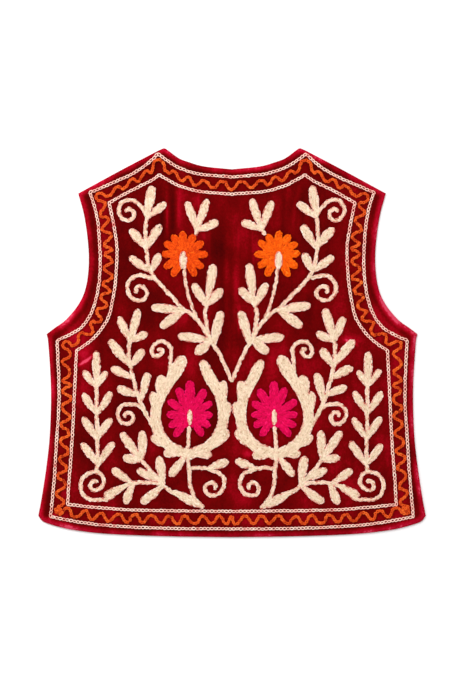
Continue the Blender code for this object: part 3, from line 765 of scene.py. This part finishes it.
def drifted(points):
    """Points of a motif, moved as the right half strays from the left one's mirror image."""
    out, up = points[..., 0], points[..., 1]
    near_middle = np.exp(-(((out - 40) / 34) ** 2)) * np.clip((up - 270) / 60, 0, 1)
    nearer = np.clip((up - 262) / 40, 0, 1) + near_middle * (3.9 + 3.2 * np.clip((up - 400) / 20, 0, 1))
    higher = 1.2 * np.clip((out - 150) / 10, 0, 1) * np.exp(-(((up - 150) / 60) ** 2))
    for at_out, at_up, across, upwards, inwards, lift in DRIFTS:
        share = np.exp(-(((out - at_out) / across) ** 2) - ((up - at_up) / upwards) ** 2)
        nearer = nearer + inwards * share
        higher = higher + lift * share
    return points + np.where(points[..., :1] > 0, np.stack([-nearer, higher], axis=-1), 0)


def rounded_tip(cap):
    """Shares of a stroke's width at TO_TIP's places: full up to cap, then round to nothing at the tip."""
    return np.sqrt(1 - np.clip((TO_TIP - cap) / (1 - cap), 0, 1) ** 2)


def leaf(foot, tip, width, side, shape=LEAF_SHAPE):
    """A spindle of a leaf: a narrow foot, its widest place past the middle and a round tip, a little bent."""
    foot, tip = (drifted(np.array(end, float) * (side, 1)) for end in (foot, tip))
    length = np.linalg.norm(tip - foot)
    axis = foot + (tip - foot) * TO_TIP[:, None]
    across = np.array([-(tip - foot)[1], (tip - foot)[0]]) / length
    axis += across * (rng.normal(0, 0.7) * np.sin(math.pi * TO_TIP))[:, None]
    half = np.interp(TO_TIP, *np.array(shape).T) * width / 2
    for _ in range(4):
        half[1:-1] = (half[:-2] + 2 * half[1:-1] + half[2:]) / 4
    tip_share = rounded_tip(1 - 0.40 * width / length)
    return band(axis, half * tip_share + 0.03 + wobble(run_of(axis), 0.16, 15.0) * tip_share)


def leaves(forks, side):
    strokes = []
    for out, up, width, fork in forks:
        for degrees, length in fork:
            turn = math.radians(degrees + rng.normal(0, 1.3))
            length += rng.normal(0, 0.7)
            tip = (out + length * math.sin(turn), up + length * math.cos(turn))
            strokes.append(leaf((out, up), tip, width * rng.uniform(0.95, 1.05), side))
    return strokes


def stem(rows, side, point=0.0, wide=STEM_WIDE):
    """A stem that keeps its width to its blunt ends, or runs out to a point over a last stretch."""
    axis = drifted(smooth_line(rows, AXIS_STEP) * (side, 1))
    axis = axis + left_of(directions(axis)) * wobble(run_of(axis), 0.28, 19.0)[:, None]
    run = run_of(axis)
    half = wide / 2 + wobble(run, 0.16, 12.0)
    if point:
        half *= np.clip((run[-1] - run) / point, 0.02, 1) ** 0.8
    return band(axis, half)


def arm(rows, side):
    """One side of the teardrop, which narrows to a round end at the top."""
    axis = smooth_line(rows, AXIS_STEP) * (side, 1)
    run = run_of(axis)
    start = np.clip((run + 0.2) / ARM_TAPER, 0, 1)
    half = ARM_WIDE / 2 * np.sin(start * math.pi / 2) ** 0.7 + wobble(run, 0.2, 16.0) * start
    return band(axis, half)


def coil(row, side):
    """A tendril that leaves its stem and winds in, each half turn smaller than the one before."""
    lead, centre, angle, first_turn, radii, last_turn = row
    way = math.copysign(1, first_turn)
    turns = [first_turn] + [way * 180] * (len(radii) - 2) + [way * last_turn]
    centre, line = np.array(centre, float), []
    for k, (radius, turn) in enumerate(zip(radii, turns)):
        at = np.radians(angle + turn * np.linspace(0, 1, round(abs(turn) / 22) + 1)[k > 0:])
        line.append(centre + radius * np.column_stack([np.cos(at), np.sin(at)]))
        if k + 1 < len(radii):
            centre = line[-1][-1] + (centre - line[-1][-1]) * radii[k + 1] / radius
        angle += turn
    return stem(np.vstack([lead, *line]), side)


def petals(row, side):
    """The petals of a flower as strokes outwards, then its eye and what fills the gaps between them."""
    out, up, heart, table = row
    centre = drifted(np.array([out * side, up], float))
    strokes = []
    for degrees, reach in table:
        angle = math.radians(90 - side * (degrees + rng.normal(0, 0.8)))
        long = reach + rng.normal(0, 0.4) - PETAL_FOOT
        from_middle = PETAL_FOOT + long * TO_TIP
        axis = centre + from_middle[:, None] * np.array([math.cos(angle), math.sin(angle)])
        widest = max(PETAL_WIDE, LONG_PETAL_WIDE * (PETAL_FOOT + long)) / 2 * rng.uniform(0.96, 1.04)
        half = np.minimum(from_middle * 0.275, widest * (1.0 - 0.20 * TO_TIP**3))
        strokes.append(band(axis, half * rounded_tip(1 - 1.15 * widest / long) + 0.02))
    ring = np.linspace(0, 2 * math.pi, 90, endpoint=False)
    circle = np.column_stack([np.cos(ring), np.sin(ring)])
    spine = np.array([centre - (0, 0.7), centre, centre + (0, 0.7)])
    return strokes + [(centre + radius * circle, spine) for radius in (FLOWER_EYE, heart)]


def seed(row, side):
    """A seed pointed at both ends."""
    out, up, half_long, half_wide = row
    t = np.linspace(-0.995, 0.995, 60)
    axis = drifted(np.column_stack([np.full(60, out * side), up + half_long * t]))
    return band(axis, half_wide * (1 - np.abs(t) ** 2.2) ** 0.75 + 0.05)


def upper_vine(side):
    main = stem(MAIN_STEM, side, point=STEM_POINT)
    others = [stem(FLOWER_STEM, side, wide=FLOWER_STEM_WIDE), stem(UPPER_STEM, side)]
    return [main, *others] + [coil(row, side) for row in UPPER_COILS] + leaves(UPPER_FORKS, side)


def sprig(side):
    return [stem(SPRIG_STEM, side)] + leaves(SPRIG_FORKS, side)


def lower_vine(side):
    strokes = [arm(rows, side) for rows in ARMS] + [leaf(*lobe, side) for lobe in LOBES]
    strokes += [stem(rows, side) for rows in LOWER_STEMS] + [coil(row, side) for row in LOWER_COILS]
    return strokes + [leaf(*FOOT_LEAF, side, FOOT_LEAF_SHAPE)] + leaves(LOWER_FORKS, side)


def wave_line():
    """The zigzag between the two chain lines: rounded waves that point outwards at each corner."""
    parts = {}
    for side, (reached, swing) in WAVES.items():
        count = round((reached[-1][1] - reached[0][1]) * WAVE_SAMPLES)
        outer, inner = (smooth_line(line[side], LINE_STEP) for line in (OUTER_LINE, INNER_LINE))
        middle = (evenly(outer, count) + evenly(inner, count)) / 2
        outward = -left_of(directions(middle))
        if side in UPRIGHT:
            outward[:] = (0.0, 1.0)
        phase = np.interp(np.linspace(0, 1, count + 1), *np.array(reached).T)
        reach = np.interp(phase, *np.array(swing).T)
        rows = np.column_stack([middle, outward, phase, reach])
        parts[side] = rows if side == "neck" else rows[:-1]
    half = np.vstack(list(parts.values()))
    middle, across = both_halves(half[:, :2]), both_halves(half[:, 2:4])
    phase, reach = half[:, 4:].T
    reach = reach * (np.cos(2 * math.pi * phase) - 0.08 * np.cos(6 * math.pi * phase)) * 1.05
    reach = np.concatenate([reach, reach[-2:0:-1]])
    for _ in range(8):
        across = (np.roll(across, 1, axis=0) + across + np.roll(across, -1, axis=0)) / 3
    turns = np.arange(len(middle)) / WAVE_SAMPLES
    uneven = 1 + 0.08 * np.sin(turns * 3.4) * np.sin(turns * 1.2 + 1.0) + 0.07 * np.sin(turns * 5.8 + 2.0)
    line = middle + unit(across) * (reach * uneven)[:, None]
    lengthwise = 0.8 * np.sin(turns * 2.6 + 0.5) + 0.6 * np.sin(turns * 5.3)
    line += directions(middle, closed=True) * lengthwise[:, None]
    before = sum(len(rows) for side, rows in parts.items() if side not in UPRIGHT)
    first = before + round(HUMP_SHARES[0] * len(parts["shoulder"]))
    last = before + len(parts["shoulder"]) + round(HUMP_SHARES[1] * len(parts["neck"]))
    hump = evenly(smooth_line(NECK_HUMP, HUMP_STEP), last - first)
    line[first:last + 1] = hump * (-1, 1)
    line[len(line) - last:len(line) - first + 1] = hump[::-1]
    return line


def corner_knots():
    """Small rings of stitches that fill the bottom corners of the zigzag."""
    turn = np.linspace(0, 2 * math.pi, 24, endpoint=False)
    ring = CORNER_KNOT_RADIUS * np.column_stack([np.cos(turn), np.sin(turn)])
    return [ring + np.array(CORNER_KNOT) * (side, 1) for side in (-1, 1)]


# ---- velvet panels


def net_over(ring, step, clear):
    """A staggered net of points inside a ring, clear of it."""
    low, high = ring.min(axis=0), ring.max(axis=0)
    rows = np.arange(low[1], high[1], step * math.sqrt(3) / 2)
    columns = np.arange(low[0], high[0], step)
    net = np.array([(x + step / 2 * (j % 2), y) for j, y in enumerate(rows) for x in columns])
    net = net[inside(net, ring)]
    return net[nearest(net, ring)[0] > clear]


def edge_rows(ring, depths):
    """Rows of points that follow a ring inwards, without those that a corner crowds."""
    inward = left_of(directions(ring, closed=True)) * math.copysign(1, signed_area(ring))
    rows = [ring + inward * depth for depth in depths]
    return np.vstack([row[nearest(row, ring)[0] > depth * 0.93] for row, depth in zip(rows, depths)])


def sheet_of(ring, loose):
    """Triangles over a ring, which also has the loose points: flat points and faces, facing up."""
    flat, triangles, origins = triangulated([ring], loose)
    faces = np.array([face for face, origin in zip(triangles, origins) if origin])
    corners = flat[faces]
    first, second = corners[:, 1] - corners[:, 0], corners[:, 2] - corners[:, 0]
    down = first[:, 0] * second[:, 1] - first[:, 1] * second[:, 0] < 0
    faces[down] = faces[down][:, ::-1]
    return flat, faces


def panel(name, ring, fine, plain, surface, nap_light_of, paint):
    """A cloth panel with a folded edge: a fine upper face and a plainer lower one that share the ring."""
    flat_top, faces_top = sheet_of(ring, fine)
    flat_bottom, faces_bottom = sheet_of(ring, plain)
    shared, more = len(ring), len(flat_top) - len(ring)
    high, low = surface(flat_top, 1), surface(flat_bottom, -1)
    high[:shared] = (high[:shared] + low[:shared]) / 2
    points = np.vstack([np.column_stack([flat_top, high]), np.column_stack([flat_bottom, low])[shared:]])
    lower = np.where(faces_bottom < shared, faces_bottom, faces_bottom + more)
    faces = np.vstack([faces_top, lower[:, ::-1]])
    # painted sheen and shade of the pile, kept as an attribute for the velvet's colour
    painted_nap_light = np.append(nap_light_of(flat_top), nap_light_of(flat_bottom)[shared:])
    return make_piece(name, points, faces.tolist(), paint, {"painted_nap_light": painted_nap_light})


def folded(inward):
    """How far an edge's round fold has opened, from 0 on the ring to 1."""
    return np.sqrt(1 - (1 - np.clip(inward / FOLD, 0, 1)) ** 2)


def back_surface(points, way):
    """Height of the back's upper face (way 1), which the stitches press down, or of its lower one (-1)."""
    half = CLOTH / 2 * way - (SINK * read_map(PRESSED, points) if way > 0 else 0)
    return read_map(HEIGHT, points) - CLOTH / 2 + half * folded(read_map(INWARD, points))


def back_nap_light(points):
    """Painted sheen and shade of the velvet: sheen where its pile stands on end along the folds, shade where
    it lies flat round stitches.
    """
    inward, place = read_map(INWARD, points), read_map(PLACE, points)
    x, y = points.T
    # painted sheen on the rolled edge, brighter in stretches along it
    rim = np.clip((RIM_LIGHT_WIDE - inward) / 5.0, 0, 1)
    tone = rim * (RIM_LIGHT + 0.35 * noise_along(place, RIM_LIGHT_LONG, SEED + 2))
    # painted shade in the trough inside the rolled edge
    tone -= 0.38 * np.exp(-(((inward - 10.5) / 2.2) ** 2))
    tone += 0.10 * np.clip((inward - 12) / 4, 0, 1) * np.clip((38 - inward) / 4, 0, 1)
    for px, py, rx, ry, amount in NAP_LIGHT_PATCHES:
        tone += amount * np.exp(-((x - px) / rx) ** 2 - ((y - py) / ry) ** 2)
    # painted sheen on the crushed streaks, painted shade round the stitches
    return tone + ridges(points, NAP_SHEEN_STREAKS) - 0.5 * read_map(SHADE_BESIDE_STITCHES, points)


def make_back(paint):
    ring = closed_ring(EDGE, LINE_STEP)[::-1]
    fine = np.vstack([edge_rows(ring, EDGE_ROWS), net_over(ring, NET, EDGE_ROWS[-1] + NET * 0.7)])
    plain = np.vstack([edge_rows(ring, UNDERSIDE_ROWS), net_over(ring, UNDERSIDE_NET, 9.0)])
    piece = panel("back_velvet", ring, fine, plain, back_surface, back_nap_light, paint)
    abs(signed_area(ring)) * MM**2
    return piece


def front_ring(side):
    """One front, face down: the back's hem, side and shoulder, a deeper armhole and a V neckline."""
    foot, corner = (OPENING / 2, FRONT_NECK_FOOT), (OPENING / 2, 0)
    hem, seam, armhole, shoulder, neck, middle = (smooth_line(rows, COARSE_STEP) for rows in (
        [corner, *EDGE["hem"][1:]], EDGE["side"], EDGE["armhole"], EDGE["shoulder"],
        [*FRONT_NECK, foot], [foot, corner]))
    armhole[:, 0] -= SCOOP * np.sin(np.linspace(0, math.pi, len(armhole)))
    ring = np.vstack([hem[:-1], seam[:-1], armhole[:-1], shoulder, neck, middle[1:-1]]) * (side, 1)
    return ring if signed_area(ring) > 0 else ring[::-1]


def make_front(name, side, paint):
    ring = front_ring(side)
    loose = np.vstack([edge_rows(ring, FRONT_ROWS), net_over(ring, FRONT_NET, 7.0)])

    def surface(points, way):
        return FRONT / 2 * (1 + way * folded(nearest(points, ring)[0]))

    # painted sheen on the front's folded edge, fading out 6 mm inwards
    def nap_light_of(points):
        return np.clip((6 - nearest(points, ring)[0]) / 5, 0, 1)

    piece = panel(name, ring, loose, loose, surface, nap_light_of, paint)
    abs(signed_area(ring)) * MM**2
    return piece


# ---- materials


def material(name, **settings):
    """A material whose Principled shader has these settings: the material, its tree and the shader."""
    made = bpy.data.materials.new(name)
    made.use_nodes = True
    shader = made.node_tree.nodes["Principled BSDF"]
    for key, value in settings.items():
        shader.inputs[key.replace("_", " ")].default_value = value
    return made, made.node_tree, shader


def node(tree, kind, **settings):
    made = tree.nodes.new(kind)
    for key, value in settings.items():
        if key in made.inputs:
            made.inputs[key].default_value = value
        else:
            setattr(made, key, value)
    return made


def combined(tree, operation, first, *others):
    """The first value with each of the others added, multiplied and so on, in turn."""
    for other in others:
        made = node(tree, "ShaderNodeMath", operation=operation)
        for socket, value in zip(made.inputs, (first, other)):
            if isinstance(value, (int, float)):
                socket.default_value = value
            else:
                tree.links.new(value, socket)
        first = made.outputs[0]
    return first


def scaled(tree, value, amount, middle=0.0):
    """A value times an amount, counted from its middle."""
    if middle:
        value = combined(tree, "SUBTRACT", value, middle)
    return combined(tree, "MULTIPLY", value, amount)


def ramp(tree, value, stops):
    """Colours by value, from a table of (place, colour)."""
    made = tree.nodes.new("ShaderNodeValToRGB")
    elements = made.color_ramp.elements
    while len(elements) < len(stops):
        elements.new(0.5)
    for element, (place, colour) in zip(elements, stops):
        element.position = place
        element.color = (*colour, 1.0)
    tree.links.new(value, made.inputs[0])
    return made.outputs[0]


def bump(tree, shader, value, distance):
    made = node(tree, "ShaderNodeBump", Strength=0.35, Distance=distance)
    tree.links.new(value, made.inputs["Height"])
    tree.links.new(made.outputs["Normal"], shader.inputs["Normal"])


def attribute(tree, name, output="Fac"):
    return node(tree, "ShaderNodeAttribute", attribute_name=name).outputs[output]


def noise(tree, scale, detail, roughness=0.5, along=1.0):
    """Noise over the object, drawn out lengthwise into streaks where along is below 1."""
    coordinates = tree.nodes.new("ShaderNodeTexCoord").outputs["Object"]
    mapping = node(tree, "ShaderNodeMapping", Scale=(1.0, along, 1.0))
    tree.links.new(coordinates, mapping.inputs["Vector"])
    made = node(tree, "ShaderNodeTexNoise", Scale=scale, Detail=detail, Roughness=roughness)
    tree.links.new(mapping.outputs["Vector"], made.inputs["Vector"])
    return made.outputs["Fac"]


# The velvet's colours by tone, from painted shade at the dark end to pale painted sheen at the top.
VELVET_STOPS = [
    (0.0, (0.046, 0.0002, 0.0003)),
    (0.30, (0.092, 0.0003, 0.0005)),
    (0.50, (0.145, 0.0004, 0.0012)),
    (0.72, (0.280, 0.0008, 0.0060)),
    (0.90, (0.42, 0.0030, 0.020)),
    (1.0, (0.62, 0.050, 0.100)),
]
# Streaks, patches and grain of the velvet: scale, detail, roughness and how far they are drawn out, as
# noise() takes them, then how much they add.
VELVET_NOISES = [(60.0, 4.0, 0.5, 0.16, 0.45), (24.0, 5.0, 0.6, 0.75, 0.95), (420.0, 4.0, 0.7, 0.8, 0.52)]


def velvet(name):
    """Crimson velvet: its colour follows the painted sheen and shade of the pile, and shifts in patches,
    streaks and fine grain.
    """
    made, tree, shader = material(name, Roughness=0.85, Specular_IOR_Level=0.02, Sheen_Weight=0.30,
                                  Sheen_Roughness=0.35, Sheen_Tint=(0.80, 0.0, 0.015, 1.0))
    parts = [scaled(tree, noise(tree, *settings), amount, 0.5) for *settings, amount in VELVET_NOISES]
    tone = combined(tree, "ADD", scaled(tree, attribute(tree, "painted_nap_light"), 0.40), *parts, 0.41)
    tree.links.new(ramp(tree, tone, VELVET_STOPS), shader.inputs["Base Color"])
    bump(tree, shader, noise(tree, 1400.0, 2.0), 0.0006)
    return made


def thread(name, colours, edge_colours=None, gloss=0.05, sheen=0.0, uneven=0.15):
    """Twisted cotton thread: plies across its strands, a tone for each stitch, painted light and shade over
    each stitch, and other colours at its edges and in small spots.
    """
    made, tree, shader = material(name, Roughness=0.62, Specular_IOR_Level=gloss, Sheen_Weight=sheen)
    separate = tree.nodes.new("ShaderNodeSeparateXYZ")
    tree.links.new(attribute(tree, "strand", "Vector"), separate.inputs[0])
    along, across, edge = separate.outputs
    slant = combined(tree, "ADD", scaled(tree, along, PLY_ALONG), scaled(tree, across, PLY_ACROSS))
    plies = combined(tree, "SINE", slant, 0.0)
    stitch = scaled(tree, attribute(tree, "tone"), uneven)
    # painted light and shade of each stitch: lit crests, shaded slits and undersides
    light = scaled(tree, attribute(tree, "light"), 0.55)
    fibre = scaled(tree, noise(tree, 1500.0, 2.0), 0.35, 0.5)
    # the plies add a little painted shade in the grooves between them
    tone = combined(tree, "ADD", stitch, fibre, light, 0.14, scaled(tree, plies, 0.06))
    spots = combined(tree, "MAXIMUM", scaled(tree, noise(tree, 340.0, 2.0, 0.6), 2.2, 0.53), 0.0)
    # Inputs 6 and 7 of a Mix node are its two colours, and output 2 is the mixed one.
    mixed = node(tree, "ShaderNodeMix", data_type="RGBA", blend_type="MIX")
    # the edge colours, with painted red light reflected from the velvet, on the outermost stitches and in
    # random small spots
    tree.links.new(combined(tree, "ADD", scaled(tree, edge, 0.8), spots), mixed.inputs["Factor"])
    tree.links.new(ramp(tree, tone, colours), mixed.inputs[6])
    tree.links.new(ramp(tree, tone, edge_colours or colours), mixed.inputs[7])
    tree.links.new(mixed.outputs[2], shader.inputs["Base Color"])
    bump(tree, shader, plies, 0.00015)
    return made


# The threads' colours from painted shade in slits and undersides to painted light on lit crests, as ramp()
# takes them;
# the dark red ends of CREAM_EDGE, CHAIN and CHAIN_DEEP are painted shade with red light reflected from the
# velvet.
# CREAM_EDGE shows along the outlines of the motifs, and like CHAIN_DEEP in small spots.
CREAM = [(0.10, (0.43, 0.28, 0.17)), (0.36, (0.73, 0.55, 0.37)), (0.64, (0.86, 0.70, 0.52)),
         (1.0, (0.93, 0.80, 0.65))]
CREAM_EDGE = [(0.10, (0.40, 0.010, 0.012)), (0.40, (0.80, 0.28, 0.21)), (0.58, (0.94, 0.66, 0.54)),
              (1.0, (0.96, 0.80, 0.68))]
CHAIN = [(0.10, (0.45, 0.004, 0.010)), (0.44, (0.78, 0.17, 0.14)), (0.62, (0.94, 0.60, 0.49)),
         (1.0, (0.97, 0.82, 0.70))]
CHAIN_DEEP = [(0.10, (0.44, 0.003, 0.009)), (0.44, (0.76, 0.15, 0.12)), (0.62, (0.92, 0.54, 0.44)),
              (1.0, (0.95, 0.76, 0.64))]
ORANGE_DEEP = [(0.10, (0.40, 0.018, 0.001)), (0.45, (0.74, 0.062, 0.002)), (0.75, (0.90, 0.105, 0.004)),
               (1.0, (0.95, 0.17, 0.010))]
ORANGE_BRIGHT = [(0.10, (0.48, 0.04, 0.001)), (0.45, (0.82, 0.098, 0.001)), (0.75, (0.96, 0.145, 0.002)),
                 (1.0, (0.98, 0.23, 0.015))]
RUST = [(0.10, (0.25, 0.011, 0.002)), (0.45, (0.57, 0.050, 0.006)), (0.75, (0.72, 0.092, 0.013)),
        (1.0, (0.80, 0.145, 0.021))]
PINK = [(0.10, (0.38, 0.001, 0.03)), (0.45, (0.68, 0.001, 0.075)), (0.75, (0.84, 0.002, 0.105)),
        (1.0, (0.92, 0.015, 0.17))]


# ---- pieces and the studio


def in_frame(points):
    """Millimetres of the tables, as metres of the frame."""
    return (points - (0, LENGTH / 2, 0)) * MM


def make_piece(name, points, faces, paint, attributes):
    mesh = bpy.data.meshes.new(name)
    mesh.from_pydata(in_frame(points).tolist(), [], faces)
    for key, values in attributes.items():
        kind, field = ("FLOAT", "value") if values.ndim == 1 else ("FLOAT_VECTOR", "vector")
        layer = mesh.attributes.new(key, kind, "POINT")
        layer.data.foreach_set(field, values.astype(np.float32).ravel())
    mesh.materials.append(paint)
    mesh.shade_smooth()
    piece = bpy.data.objects.new(name, mesh)
    bpy.context.scene.collection.objects.link(piece)
    return piece


def stand_for(piece, node_name):
    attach(piece, "root")
    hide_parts(node_name)


def sew(node_name, stitches, paint):
    """A finished piece of embroidery in the place of its solid."""
    points, faces, *looks = stitches
    piece = make_piece(f"{node_name}_stitches", points, faces, paint,
                       dict(zip(("tone", "light", "strand"), looks)))
    stand_for(piece, node_name)
    return piece


def sew_motifs(word, side, cream, pink, orange):
    """The vines, the sprig, the flowers and their seeds on one side."""
    on_petals = STITCH_HIGH * 0.9 + PAD
    upper, lower, twig = upper_vine(side), lower_vine(side), sprig(side)
    return [
        sew(f"vine_upper_{word}", worked(upper, 0.0), cream),
        sew(f"sprig_{word}", worked(twig, 0.0), cream),
        sew(f"vine_lower_{word}", worked(lower, 0.0), cream),
        sew(f"flower_orange_{word}", worked(petals(ORANGE_FLOWER, side), 0.0, upper + twig),
            orange),
        sew(f"flower_pink_{word}", worked(petals(PINK_FLOWER, side), 0.0, lower), pink),
        sew(f"seed_orange_{word}", worked([seed(ORANGE_SEED, side)], on_petals), cream),
        sew(f"seed_pink_{word}", worked([seed(PINK_SEED, side)], on_petals), cream),
    ]


def sew_border(cream, rust):
    """The two lines of open chains and the zigzag between them."""
    outer = looped_stitches(closed_ring(OUTER_LINE, LINE_STEP), **OUTER_CHAIN)
    inner = looped_stitches(closed_ring(INNER_LINE, LINE_STEP), **INNER_CHAIN)
    waves = joined([looped_stitches(line, **ZIGZAG_CHAIN) for line in (wave_line(), *corner_knots())])
    return [
        sew("chain_outer", outer, cream),
        sew("chain_inner", inner, cream),
        sew("zigzag", waves, rust),
    ]


def pressed_map(pieces):
    """Where stitches press the pile: their points marked on a map, softened a little for the troughs and more
    widely for the painted shade beside them.
    """
    marks = np.zeros(MAP_SIZE)
    for piece in pieces:
        points = np.empty(len(piece.data.vertices) * 3, np.float32)
        piece.data.vertices.foreach_get("co", points)
        flat = points.reshape(-1, 3)[:, :2] / MM + (0, LENGTH / 2)
        cell = np.rint((flat - MAP_LOW) / MAP_STEP).astype(int)
        marks[cell[:, 0], cell[:, 1]] = 1.0
    return softened(marks, 1), softened(marks, 3)


def make_floor():
    bpy.ops.mesh.primitive_plane_add(size=8.0, location=(0, 0, 0))
    floor = bpy.context.object
    floor.name = "floor"
    paint, *_ = material("PaleFloor", Base_Color=(0.93, 0.93, 0.93, 1.0), Roughness=0.9,
                         Specular_IOR_Level=0.1)
    floor.data.materials.append(paint)


def area_light(name, place, size, power):
    """A square lamp that points at the middle of the floor."""
    lamp = bpy.data.lights.new(name, "AREA")
    lamp.shape = "SQUARE"
    lamp.size = size
    lamp.energy = power
    made = bpy.data.objects.new(name, lamp)
    made.location = place
    made.rotation_euler = (-Vector(place)).to_track_quat("-Z", "Y").to_euler()
    bpy.context.scene.collection.objects.link(made)


def light_studio():
    world = bpy.data.worlds.new("Studio")
    world.use_nodes = True
    world.node_tree.nodes["Background"].inputs["Color"].default_value = (1.0, 1.0, 1.0, 1.0)
    world.node_tree.nodes["Background"].inputs["Strength"].default_value = 0.62
    bpy.context.scene.world = world
    area_light("softbox", place=(-0.3, 0.9, 2.4), size=1.6, power=47.0)
    area_light("side_light", place=(-2.0, 1.2, 1.1), size=0.9, power=24.0)


PHOTO_HIGH = 0.948  # height of the view at the floor
PHOTO_MIDDLE = (0.0013, -0.0099)
CAMERA_AWAY = 2.6
SENSOR = 36.0


def make_camera():
    data = bpy.data.cameras.new("photo_view")
    data.sensor_width = SENSOR
    data.lens = SENSOR * CAMERA_AWAY / PHOTO_HIGH
    camera = bpy.data.objects.new("photo_view", data)
    camera.location = (*PHOTO_MIDDLE, CAMERA_AWAY)
    bpy.context.scene.collection.objects.link(camera)
    bpy.context.scene.camera = camera


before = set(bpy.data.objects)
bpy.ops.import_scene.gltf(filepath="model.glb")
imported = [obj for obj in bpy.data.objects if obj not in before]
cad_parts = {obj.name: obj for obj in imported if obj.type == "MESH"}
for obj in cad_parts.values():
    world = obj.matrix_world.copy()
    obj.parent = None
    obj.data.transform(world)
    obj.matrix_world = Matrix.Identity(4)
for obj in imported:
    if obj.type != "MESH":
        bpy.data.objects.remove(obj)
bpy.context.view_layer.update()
bpy.context.scene.view_settings.view_transform = "Standard"
make_camera()

cream_thread = thread("CreamThread", CREAM, CREAM_EDGE, gloss=0.2, sheen=0.1)
chain_thread = thread("ChainThread", CHAIN, CHAIN_DEEP, gloss=0.2, sheen=0.1, uneven=0.06)
rust_thread = thread("RustThread", RUST)
pink_thread = thread("PinkThread", PINK)
sewn = sew_motifs("left", -1, cream_thread, pink_thread, thread("DeepOrangeThread", ORANGE_DEEP))
sewn += sew_motifs("right", 1, cream_thread, pink_thread, thread("BrightOrangeThread", ORANGE_BRIGHT))
sewn += sew_border(chain_thread, rust_thread)
PRESSED, SHADE_BESIDE_STITCHES = pressed_map(sewn)

red = velvet("CrimsonVelvet")
stand_for(make_front("front_left_velvet", -1, red), "front_left")
stand_for(make_front("front_right_velvet", 1, red), "front_right")
stand_for(make_back(red), "back")

make_floor()
light_studio()
